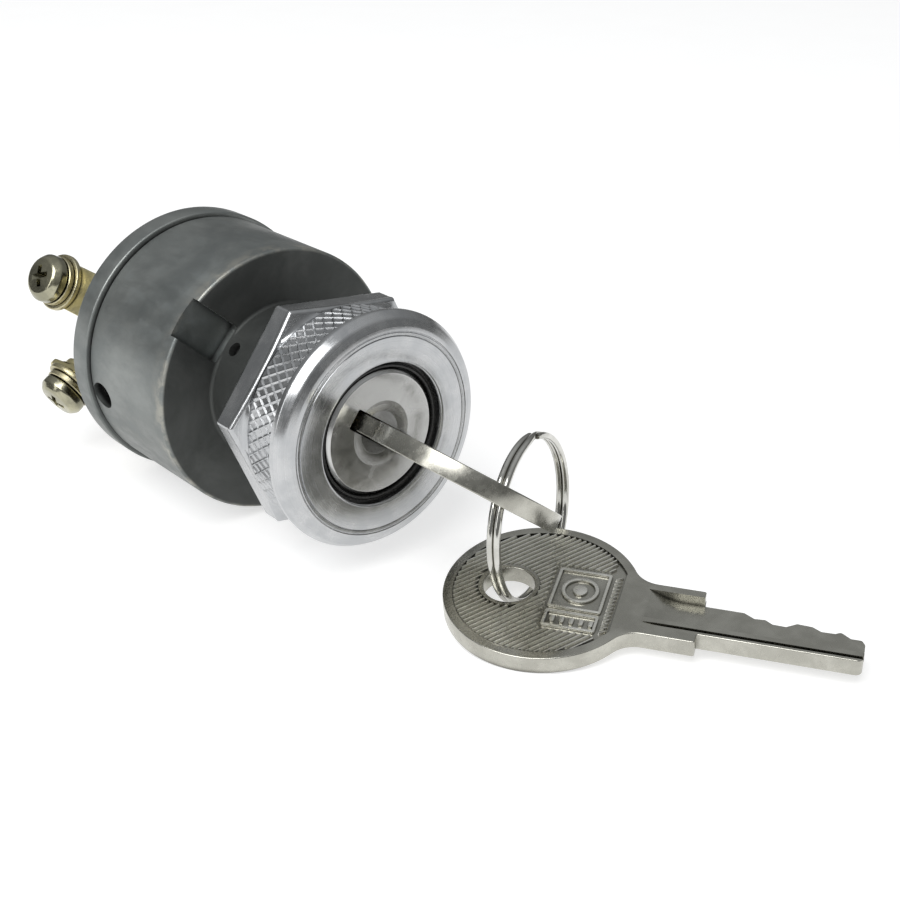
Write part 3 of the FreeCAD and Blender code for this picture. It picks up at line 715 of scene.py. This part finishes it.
def nut_rear_line(angle):
    """The hexagon's outline at one angle: rear face, flat, rubbed ridge and the hollow behind the drum."""
    sector = math.pi / 3
    away = (angle - HEX_ANGLE) % sector - sector / 2
    hexagon = min(HEX_FLAT / math.cos(away), HEX_CORNER)
    edge = HEX_FRONT + 0.45 * (hexagon - HEX_FLAT) / (HEX_CORNER - HEX_FLAT)
    line = [(NUT_BORE, HEX_REAR), (hexagon - 0.6, HEX_REAR)]
    line += [(hexagon + out, HEX_REAR + along) for out, along in HEX_REAR_ROUNDING]
    line += [(hexagon + out, edge + along) for out, along in HEX_RIDGE]
    foot_radius, foot_y = HOLLOW
    radius, y = line[-1]
    drop = max(radius - foot_radius, 0.0)
    line.append((foot_radius + 0.45 * drop, y + 0.35 * (foot_y - y)))
    line.append((foot_radius + 0.12 * drop, y + 0.75 * (foot_y - y)))
    line.append((min(foot_radius, radius), foot_y))
    line.append((DRUM_RADIUS - KNURL_DEPTH, KNURL_REAR + 0.06))
    return line


NUT_COLLAR = [
    (14.66, -19.70), (14.5, -19.80, 0.05), (14.5, -19.92, 0.05), (15.0, -19.98, 0.08), (15.1, -20.12, 0.05),
    (15.45, -20.16, 0.08), (15.9, -20.5, 0.3), (15.9, -21.2, 0.6), (15.2, -22.35, 1.0), (14.2, -22.84, 0.8),
    (13.66, -22.98, 0.1), (13.56, -22.9, 0.04), (13.48, -22.9, 0.04), (13.40, -23.0, 0.05),
    (13.06, -22.93, 0.03), (12.98, -22.86, 0.03), (12.92, -22.99, 0.03), (9.55, -23.0, 0.42),
    (9.5, -22.3, 0.05), (9.5, -21.9), (NUT_BORE, -21.88)]


def make_bezel_nut():
    """One closed mesh; the knurl's rows step by one column, so that its raised lines follow the mesh."""
    columns = KNURL_STARTS * KNURL_SAMPLES
    row_step = 2 * math.pi / columns * DRUM_RADIUS / KNURL_LEAN
    knurl_rows = int((KNURL_REAR - KNURL_FRONT) / row_step) + 1
    collar = [tuple(point) for point in fillet(NUT_COLLAR, closed=False, steps=4)]
    vertices, faces = [], []
    for column in range(columns):
        angle = HEX_ANGLE + 2 * math.pi * column / columns
        line = nut_rear_line(angle)
        first_knurl = len(line)
        for row in range(knurl_rows):
            y = KNURL_REAR - row * row_step
            fade = min(1.0, row / KNURL_FADE_ROWS, (knurl_rows - 1 - row) / KNURL_FADE_ROWS)
            line.append((DRUM_RADIUS - KNURL_DEPTH * (1.0 - fade * max(knurl_lines(angle, y))), y))
        line += collar
        vertices += [round_y(radius, y, angle) for radius, y in line]
    rows = len(line)
    for column in range(columns):
        ahead = (column + 1) % columns
        middle_angle = HEX_ANGLE + 2 * math.pi * (column + 0.5) / columns
        for row in range(rows):
            after = (row + 1) % rows
            near, near_next = column * rows + row, column * rows + after
            far, far_next = ahead * rows + row, ahead * rows + after
            if not first_knurl <= row < first_knurl + knurl_rows - 1:
                faces.append((near, near_next, far_next, far))
                continue
            falling, rising = knurl_lines(middle_angle, KNURL_REAR - (row - first_knurl + 0.5) * row_step)
            if falling > rising:
                faces += [(near, near_next, far), (near_next, far_next, far)]
            else:
                faces += [(near, near_next, far_next), (near, far_next, far)]
    nut = tidy(mesh_object("bezel_nut_turned", vertices, faces), 30.0)
    finish_piece(nut, "switch_body", "polished_nut", "bezel_nut")


def make_seal():
    """The black lip between the nut and the plug cap."""
    seal = lathe("seal_moulding", fillet([
        (8.62, -21.7, 0.05), (8.72, -22.1, 0.1), (9.0, -22.1, 0.1), (9.12, -21.72, 0.05),
        (9.3, -21.87, 0.08), (10.4, -21.87), (10.4, -20.93), (8.85, -20.93, 0.1), (8.66, -21.1, 0.05)]), 160)
    finish_piece(seal, "switch_body", "seal_rubber", "seal_ring")


# ---- plug cap

def make_cap():
    """The dished, turned cap over the plug, with the key's slot."""
    profile = fillet([
        (0.0, -21.05), (8.4, -21.05, 0.05), (8.4, -21.85, 0.12), (8.12, -22.1, 0.1), (7.95, -22.27, 0.06),
        (4.35, -22.3, 0.2), (3.9, -22.22, 0.3), (2.9, -21.95, 0.8), (0.0, -21.85)], steps=4)
    cap = lathe("plug_cap_turned", profile, 200)
    slot = prism("slot_tool", fillet([
        (-5.2, -1.4, 0.2), (5.2, -1.4, 0.2), (5.2, 1.4, 0.2), (-5.2, 1.4, 0.2)]), -24.0, -20.0)
    cut_away(cap, [moved(slot, about_axis(KEY_ANGLE) @ Z_TO_Y)])
    finish_piece(cap, "lock_core", "cap_steel", "plug_cap")


# ---- keys

BOW_RADIUS = 12.2
NECK_PLAIN_SIDE = 4.85
NECK_CUT_SIDE = 4.35
NECK_BEND = 3.6
# The blade's outline from the plain lug round the tip and the cuts to the other lug: x, y and rounding.
SHANK = [
    (19.0, -4.85), (19.6, -4.85, 0.7), (19.6, -3.45, 0.15), (38.6, -3.45, 0.8), (38.6, 0.9, 0.6),
    (38.2, 1.6, 0.4), (36.9, 1.6, 0.3), (35.7, 2.45, 0.4), (35.1, 2.05, 0.2), (33.5, 2.0, 0.3),
    (32.4, 2.6, 0.3), (30.6, 2.7, 0.3), (29.4, 1.87, 0.3), (27.8, 1.92, 0.3), (26.9, 2.5, 0.3),
    (25.6, 2.4, 0.3), (24.3, 3.15, 0.3), (19.6, 3.15, 0.1), (19.6, 4.35, 0.6), (19.0, 4.35)]
MILLED_SIDE = (-1.9, 3.2)
MILLED_DEPTH = 1.4
MILLED_START = 12.7
MILLED_FULL = 16.6
EDGE_CUT_START = 19.55
PAST_TIP = 41.0
FIELD_RADIUS = 11.0
FIELD_DEPTH = 0.32
FIELD_END = 9.6
HOLE_CENTRE = (-4.15, 0.0)
HOLE_RADIUS = 3.2
BOSS_RADIUS = 3.8
RIB_PITCH = 0.66
RIB_WIDTH = 0.42
RIB_RAMP = 0.18
RIB_HEADING = math.radians(48.0)
PANEL = (1.3, -6.0, 7.9, 4.75)
PANEL_SPLIT = -2.85
FRAME_WIDTH = 0.38
FRAME_GAP = 0.25
HATCH = (8.3, 9.3)
HATCH_COUNT = 15
HATCH_PITCH = 0.7
DEVICE_RADII = (2.3, 1.85, 0.9)
TALLY_COUNT = 5
TALLY_PITCH = 1.18
TALLY_HALF = 0.28


def key_outline():
    """Round bow, filleted neck with two lugs, and the cut blade."""
    lower, upper = neck_fillet(NECK_PLAIN_SIDE), neck_fillet(NECK_CUT_SIDE)
    start = math.atan2(upper[0][1], upper[0][0])
    end = 2 * math.pi - math.atan2(lower[0][1], lower[0][0])
    points = arc(BOW_RADIUS, start, end)
    points += [(x, -y) for x, y in lower[1:]]
    points += [tuple(point) for point in fillet(SHANK, closed=False, steps=5)]
    points += list(reversed(upper[1:]))
    return points


def neck_fillet(half_width):
    """The hollow curve from the bow's rim to the neck, on the +y side."""
    centre_y = half_width + NECK_BEND
    centre_x = math.sqrt((BOW_RADIUS + NECK_BEND) ** 2 - centre_y ** 2)
    rim_angle = math.atan2(centre_y, centre_x)
    curve = arc(NECK_BEND, math.pi + rim_angle, 1.5 * math.pi, 8)
    return [(centre_x + x, centre_y + y) for x, y in curve]


def key_field():
    """The recessed part of the bow's face."""
    corner = math.acos(FIELD_END / FIELD_RADIUS)
    return arc(FIELD_RADIUS, corner, 2 * math.pi - corner)


def spans_outside(spans, low, high):
    """The parts of the spans that lie outside low to high."""
    kept = []
    for start, end in spans:
        if high <= start or low >= end:
            kept.append((start, end))
            continue
        if start < low:
            kept.append((start, low))
        if end > high:
            kept.append((high, end))
    return kept


def box_crossing(point, heading, box):
    """Where a line runs through a rectangle, as two distances along it, or None."""
    near, far = -1e9, 1e9
    for axis in (0, 1):
        low, high = box[axis], box[axis + 2]
        if abs(heading[axis]) < 1e-9:
            if not low < point[axis] < high:
                return None
            continue
        first = (low - point[axis]) / heading[axis]
        second = (high - point[axis]) / heading[axis]
        near = max(near, min(first, second))
        far = min(far, max(first, second))
    return (near, far) if near < far else None


def rib_spans(offset):
    """A rib line's stretches that lie inside the field and clear of the hole and the panel."""
    heading = (math.cos(RIB_HEADING), math.sin(RIB_HEADING))
    point = (-heading[1] * offset, heading[0] * offset)
    reach = FIELD_RADIUS + 0.05
    if abs(offset) >= reach:
        return point, heading, []
    half = math.sqrt(reach ** 2 - offset ** 2)
    near, far = box_crossing(point, heading, (-20.0, -20.0, HATCH[0] - 0.2, 20.0))
    spans = [(max(-half, near), min(half, far))]
    along = (HOLE_CENTRE[0] - point[0]) * heading[0] + (HOLE_CENTRE[1] - point[1]) * heading[1]
    beside = abs((HOLE_CENTRE[0] - point[0]) * heading[1] - (HOLE_CENTRE[1] - point[1]) * heading[0])
    boss = BOSS_RADIUS - 0.1
    if beside < boss:
        cut = math.sqrt(boss ** 2 - beside ** 2)
        spans = spans_outside(spans, along - cut, along + cut)
    x0, y0, x1, y1 = PANEL
    clear = 0.35
    crossing = box_crossing(point, heading, (x0 - clear, y0 - clear, x1 + clear, y1 + clear))
    if crossing:
        spans = spans_outside(spans, *crossing)
    return point, heading, [span for span in spans if span[1] - span[0] > 0.5]


def bar(name, start, end, low, high, crest):
    """A rib with sloping sides and ends between two (x, y) points; crest is the top's share of its width."""
    start, end = Vector(start), Vector(end)
    run = (end - start).normalized()
    side = Vector((-run.y, run.x)) * RIB_WIDTH
    rows = []
    ramp = run * RIB_RAMP
    for place, share in ((start, 0.05), (start + ramp, 1.0), (end - ramp, 1.0), (end, 0.05)):
        top = low + share * (high - low)
        row = []
        for across, z in ((-0.5, low), (-0.5 * crest, top), (0.5 * crest, top), (0.5, low)):
            spot = place + side * across
            row.append((spot.x, spot.y, z))
        rows.append(row)
    return four_sided(name, rows)


def rounded_box(x0, y0, x1, y1, radius):
    return fillet([(x0, y0, radius), (x1, y0, radius), (x1, y1, radius), (x0, y1, radius)], steps=3)


def key_relief(name):
    """Raised work on one face of the bow: ribs, hatching, framed panel and a plain ring device."""
    floor = KEY_THICKNESS / 2 - FIELD_DEPTH
    base = floor - 0.06
    crest = KEY_THICKNESS / 2 - 0.01
    pieces = []
    lines = int(FIELD_RADIUS / RIB_PITCH) + 1
    for index in range(-lines, lines + 1):
        point, heading, spans = rib_spans(index * RIB_PITCH)
        for start, end in spans:
            ends = [(point[0] + heading[0] * reach, point[1] + heading[1] * reach) for reach in (start, end)]
            pieces.append(bar(name + "_rib", *ends, base, crest, 0.4))
    x0, y0, x1, y1 = PANEL
    left, right = HATCH
    for index in range(HATCH_COUNT):
        y = y0 + 0.4 + index * HATCH_PITCH
        ends = (left, y - HATCH_PITCH / 2), (right, y + HATCH_PITCH / 2)
        pieces.append(bar(name + "_hatch", *ends, base, crest, 0.12))
    for low, high in ((PANEL_SPLIT + FRAME_GAP, y1), (y0, PANEL_SPLIT - FRAME_GAP)):
        outer = rounded_box(x0, low, x1, high, 0.3)
        inner = rounded_box(x0 + FRAME_WIDTH, low + FRAME_WIDTH, x1 - FRAME_WIDTH, high - FRAME_WIDTH, 0.15)
        pieces.append(plate(name + "_frame", [outer, inner], base, crest + 0.01, 0.06, 1))
    centre = ((x0 + x1) / 2, (PANEL_SPLIT + FRAME_GAP + y1) / 2)
    outer, inner, eye = DEVICE_RADII
    ring = [circle(outer, centre, 48), circle(inner, centre, 48)]
    pieces.append(plate(name + "_device", ring, base, crest - 0.02, 0.05, 1))
    pieces.append(plate(name + "_device_eye", [circle(eye, centre, 32)], base, crest - 0.02, 0.06, 1))
    for step in range(TALLY_COUNT):
        x = x0 + 1.15 + step * TALLY_PITCH
        mark = rounded_box(x - TALLY_HALF, y0 + 0.95, x + TALLY_HALF, PANEL_SPLIT - 1.2, 0.15)
        pieces.append(plate(name + "_tally", [mark], base, crest - 0.04, 0.05, 1))
    return pieces


def make_key(name, matrix, body, node):
    """A key as two pieces: the milled blank, and the raised work on both faces of its bow."""
    half = KEY_THICKNESS / 2
    outlines = [key_outline(), circle(HOLE_RADIUS, HOLE_CENTRE, 72)]
    key = plate(name, outlines, -half, half, 0.16, 3)
    boss = circle(BOSS_RADIUS, HOLE_CENTRE, 64)
    tools = []
    for side in (1.0, -1.0):
        low, high = sorted((side * (half - FIELD_DEPTH), side * (half + 0.5)))
        tools.append(plate(name + "_field_tool", [key_field(), boss], low, high))
    low, high = MILLED_SIDE
    tools.append(groove_tool(name + "_milling_tool", low, high, 1.0, MILLED_DEPTH, 0.0))
    edge = [(EDGE_CUT_START, low + 0.5), (PAST_TIP, low + 0.5), (PAST_TIP, 6.0), (EDGE_CUT_START, 6.0)]
    tools.append(prism(name + "_edge_tool", edge, half - MILLED_DEPTH, half + 0.5))
    tools.append(groove_tool(name + "_groove_tool", -3.12, -2.46, 1.0, 0.5, 0.22))
    tools.append(groove_tool(name + "_under_tool", -2.6, -1.7, -1.0, 0.5, 0.12))
    cut_away(key, tools)
    back = [moved(piece, Matrix.Rotation(math.pi, 4, "X")) for piece in key_relief(name + "_back")]
    relief = join(name + "_relief", key_relief(name + "_front") + back)
    for item in (key, relief):
        moved(shade(item, 30.0), matrix)
    finish_piece(key, body, "key_nickel", node)
    # The raised work takes the lighter nickel copy, which paints its highlights.
    finish_piece(relief, body, "key_nickel", finish="key_relief")


def groove_tool(name, low, high, side, depth, slope):
    """A long groove between two y values, with sloping walls and a run-out ramp at its bow end."""
    half = KEY_THICKNESS / 2
    top = side * (half + 0.4)
    rows = []
    middle = (MILLED_START + MILLED_FULL) / 2
    for x, sink in ((MILLED_START - 0.6, -0.22), (MILLED_START + 0.4, 0.12 * depth),
                    (middle, 0.66 * depth), (MILLED_FULL, depth), (PAST_TIP, depth)):
        floor = side * (half - sink)
        rows.append([(x, low, top), (x, low + slope, floor), (x, high - slope, floor), (x, high, top)])
    return tidy(four_sided(name, rows))


def make_keys():
    """One key in the plug and one hanging from the ring, with its blade on the table."""
    across = round_y(1.0, 0.0, KEY_ANGLE)
    make_key("inserted_key", frame_matrix((0.0, -38.7, 0.0), (0, 1, 0), across), "inserted_key", "key")
    lying = frame_matrix((6.31, -45.68, -15.86), (0.524, -0.852, 0.002), (0.838, 0.516, 0.177))
    make_key("loose_key", lying, "loose_key", "spare_key")


# ---- split ring

RING_CENTRE = Vector((9.29, -40.13, -8.22))
RING_NORMAL = Vector((-0.38, 0.923, -0.07)).normalized()
RING_RADIUS = 10.5
RING_WIRE = 0.44
RING_OFFSET = 0.44
RING_STEPS = 420
RING_SIDES = 16
RING_START = math.radians(12.0)
RING_CROSSING = math.radians(22.0)
RING_TIP_SHARE = 0.82


def make_ring():
    """Two coils of wire with the step where one crosses to the other."""
    up = (Vector((0, 0, 1)) - RING_NORMAL * RING_NORMAL.z).normalized()
    side = RING_NORMAL.cross(up)
    rows = []
    for step in range(RING_STEPS + 1):
        travel = 4 * math.pi * step / RING_STEPS
        crossing = max(-1.0, min(1.0, (travel - 2 * math.pi) / RING_CROSSING))
        offset = RING_OFFSET * math.sin(crossing * math.pi / 2)
        angle = travel + RING_START
        out = up * math.cos(angle) + side * math.sin(angle)
        centre = RING_CENTRE + out * RING_RADIUS + RING_NORMAL * offset
        wire = RING_WIRE * (RING_TIP_SHARE if step in (0, RING_STEPS) else 1.0)
        rows.append([centre + out * x + RING_NORMAL * y for x, y in circle(wire, count=RING_SIDES)])
    ring = swept("split_ring", rows, 50.0)
    finish_piece(ring, "ring", "ring_steel", "key_ring")


# ---- terminals and their screws

TAB_THICKNESS = 1.0
TAB_HALF_WIDTH = 3.3
TAB_OUTER = 14.3
TAB_START = 16.4
TAB_BEND = 24.5
TAB_BEND_RADIUS = 9.0
TAB_END = 39.2
TAB_FLARE = math.radians(7.0)
TAB_STEPS = 60
TAB_TIP_REACH = 1.2
TAB_TIP_NARROWING = 1.1
SCREW_Y = 35.3
FLAT_WASHER_HEIGHT = 0.8
SCREW_HEIGHT = 1.8
THREAD_CREST = 1.97
THREAD_ROOT = 1.62
THREAD_PITCH = 0.7
THREAD_SPAN = (-6.9, 0.3)


def tab_place(length):
    """A point on the tab's outer face and the outward direction there, at a length from its start."""
    rise = TAB_BEND - TAB_START
    curve = TAB_BEND_RADIUS * TAB_FLARE
    if length < rise - curve / 2:
        return (TAB_OUTER, TAB_START + length), (1.0, 0.0)
    turned = min((length - (rise - curve / 2)) / curve, 1.0) * TAB_FLARE
    radial = TAB_OUTER + TAB_BEND_RADIUS * (1 - math.cos(turned))
    y = TAB_BEND - curve / 2 + TAB_BEND_RADIUS * math.sin(turned)
    rest = max(length - (rise + curve / 2), 0.0)
    radial += rest * math.sin(TAB_FLARE)
    y += rest * math.cos(TAB_FLARE)
    return (radial, y), (math.cos(turned), -math.sin(turned))


def tab_width(left):
    """The tab's width at a distance from its rounded end, as a share of the full width."""
    into_tip = max(0.0, (TAB_TIP_REACH - left) / TAB_TIP_REACH)
    return 1.0 - TAB_TIP_NARROWING / TAB_HALF_WIDTH * (1 - math.sqrt(max(0.0, 1 - into_tip ** 2)))


def make_tab(index, angle):
    """A bent strip with a rounded end, rounded long edges and an extruded tapped boss."""
    total = (TAB_BEND - TAB_START) + (TAB_END - TAB_BEND) / math.cos(TAB_FLARE)
    half = TAB_HALF_WIDTH
    section = fillet([
        (-half, 0.0, 0.22), (half, 0.0, 0.12), (half, -TAB_THICKNESS, 0.22), (-half, -TAB_THICKNESS, 0.22)],
        steps=3)
    stations = [total * step / TAB_STEPS for step in range(TAB_STEPS - 3)]
    stations += [total - left for left in (TAB_TIP_REACH, 0.8, 0.45, 0.2, 0.06, 0.0)]
    rows = []
    for length in sorted(stations):
        (radial, y), (out_x, out_y) = tab_place(length)
        width = tab_width(total - length)
        rows.append([(radial + out_x * depth, y + out_y * depth, across * width)
                     for across, depth in section])
    strip = swept("tab_strip", rows)
    boss = lathe("tab_boss", fillet([
        (2.02, -2.2), (2.9, -2.2, 0.2), (3.0, -1.35, 0.2), (3.4, -0.95), (2.02, -0.95)]), 48, round_z)
    tab = shade(join(f"terminal_tab_{index}", [strip, moved(boss, screw_matrix())]), 32.0)
    moved(tab, about_axis(angle))
    finish_piece(tab, "switch_body", "terminal_brass", f"terminal_{index}")


def screw_matrix(height=0.0, spin=0.0):
    """Carries a piece that stands on z = 0 to a height above the tab's outer face at the screw."""
    slope = math.tan(TAB_FLARE)
    outward = TAB_OUTER + (SCREW_Y - TAB_BEND) * slope
    matrix = Matrix.Rotation(-TAB_FLARE, 4, "Z") @ Matrix.Rotation(math.pi / 2, 4, "Y")
    matrix.translation = Vector((outward, SCREW_Y, 0.0))
    return matrix @ Matrix.Translation((0.0, 0.0, height)) @ Matrix.Rotation(spin, 4, "Z")


def make_thread():
    """A screw's threaded shank along z, with a chamfered end at the bottom."""
    segments = 36
    per_turn = 8
    low, high = THREAD_SPAN
    count = int((high - low) / THREAD_PITCH * per_turn)
    rows = []
    for step in range(segments):
        turn = step / segments
        row = [(0.0, low)]
        for index in range(count + 1):
            z = low + (high - low) * index / count
            phase = (z / THREAD_PITCH - turn) % 1.0
            crest_share = min(1.0, 2.6 * min(phase, 1.0 - phase))
            radius = THREAD_ROOT + (THREAD_CREST - THREAD_ROOT) * crest_share
            row.append((min(radius, THREAD_ROOT - 0.35 + (z - low) * 1.2), z))
        row.append((0.0, high))
        rows.append([round_z(radius, z, 2 * math.pi * turn) for radius, z in row])
    return tidy(grid("screw_shank", rows, closed_across=False), 40.0)


def make_screw(index, angle, spin):
    """A domed cross-recess screw in its place at one terminal."""
    profile = fillet([
        (0.0, 0.0), (3.25, 0.0, 0.1), (3.5, 0.3, 0.25), (3.5, 1.35, 0.7), (2.75, 2.3, 0.9), (0.0, 2.6)],
        steps=6)
    head = lathe("screw_head", profile, 72, round_z)
    cut_away(head, [moved(cross_wing(), Matrix.Rotation(turn, 4, "Z")) for turn in (0.0, math.pi / 2)])
    screw = join(f"terminal_screw_{index}", [head, make_thread()])
    return moved(screw, about_axis(angle) @ screw_matrix(SCREW_HEIGHT, spin))


def cross_wing():
    """One tapered wing of a cross recess."""
    vertices = []
    for z, reach, half in ((3.2, 2.15, 0.46), (1.1, 0.75, 0.30)):
        vertices += [(-reach, -half, z), (reach, -half, z), (reach, half, z), (-reach, half, z)]
    faces = [(0, 1, 2, 3), (7, 6, 5, 4)]
    faces += [(near, near + 4, (near + 1) % 4 + 4, (near + 1) % 4) for near in range(4)]
    return tidy(mesh_object("cross_wing", vertices, faces))


# (radius, height) round the lock washer's wire, with the height as a share of its own.
LOCK_SECTION = (
    (2.25, 0.12), (2.37, 0.0), (3.48, 0.0), (3.6, 0.12), (3.6, 0.88), (3.48, 1.0), (2.37, 1.0), (2.25, 0.88))
LOCK_HEIGHT = 0.86
LOCK_RISE = 0.14
LOCK_GAP = math.radians(9.0)
LOCK_SLANT = 0.12


def make_lock_washer(angle, spin):
    """A split spring washer: a square-wire turn with a slight rise and a slanting gap."""
    rows = []
    steps = 72
    for step in range(steps + 1):
        part = step / steps
        turn = LOCK_GAP / 2 + (2 * math.pi - LOCK_GAP) * part
        middle = 0.5 + LOCK_RISE * (part - 0.5)
        slant = LOCK_SLANT if step in (0, steps) else 0.0
        rows.append([round_z(radius, middle + (share - 0.5) * LOCK_HEIGHT, turn + slant * (share - 0.5))
                     for radius, share in LOCK_SECTION])
    washer = swept("lock_washer", rows)
    return moved(washer, about_axis(angle) @ screw_matrix(FLAT_WASHER_HEIGHT, spin))


def make_fasteners():
    """The four tabs, and on each of them a screw over a spring washer over a flat washer."""
    screws, flats, locks = [], [], []
    for index, angle in enumerate(TERMINAL_ANGLES):
        make_tab(index + 1, angle)
        spin = math.radians(25.0 + 37.0 * index)
        screws.append(make_screw(index, angle, spin))
        top = FLAT_WASHER_HEIGHT
        flat = lathe("flat_washer", fillet([
            (2.2, 0.0, 0.08), (4.15, 0.0, 0.12), (4.15, top, 0.2), (2.2, top, 0.1)], steps=3), 72, round_z)
        flats.append(moved(flat, about_axis(angle) @ screw_matrix()))
        locks.append(make_lock_washer(angle, spin + 1.9))
    for name, items, slot, node in (("terminal_screw_set", screws, "screw_steel", "terminal_screws"),
                                    ("flat_washer_set", flats, "washer_steel", "flat_washers"),
                                    ("spring_washer_set", locks, "washer_steel", "spring_washers")):
        group = shade(join(name, items), 34.0)
        finish_piece(group, "switch_body", slot, node)


# ---- terminal base

def make_base():
    """The moulded base that closes the rear, slotted for the four tabs."""
    profile = fillet([
        (0.0, 20.0), (2.45, 20.0), (2.45, 17.4), (15.9, 17.4), (15.9, 18.6), (17.3, 18.6), (17.3, 22.48, 0.2),
        (13.0, 22.48, 0.4), (12.2, 22.7, 0.3), (12.0, 26.0, 0.6), (10.2, 26.0, 0.2), (9.9, 25.3, 0.3),
        (4.6, 25.3, 0.3), (4.3, 26.0, 0.3), (2.2, 26.0, 0.2), (1.9, 25.5, 0.2), (0.0, 25.5)], steps=4)
    base = lathe("terminal_base_moulding", profile, 180)
    tools = []
    for angle in TERMINAL_ANGLES:
        slot = prism("base_slot_tool", rounded_box(13.28, -3.33, 14.32, 3.33, 0.1), -24.0, -16.0)
        tools.append(moved(slot, about_axis(angle) @ Z_TO_MINUS_Y))
    cut_away(base, tools)
    finish_piece(base, "switch_body", "phenolic", "terminal_base")


def dress_cad_nodes():
    """Each CAD node that stays visible takes the detailed finish of its material slot."""
    slots = {part["node"]: part["material_slot"] for part in frame["record"]["subparts"]}
    for name, item in frame["nodes"].items():
        item.data.materials.clear()
        item.data.materials.append(MATERIALS[slots[name]])


make_camera()
make_world()
make_lights()
MATERIALS = make_materials()
make_floor()
dress_cad_nodes()
make_housing()
make_bezel_nut()
make_seal()
make_cap()
make_keys()
make_ring()
make_fasteners()
make_base()
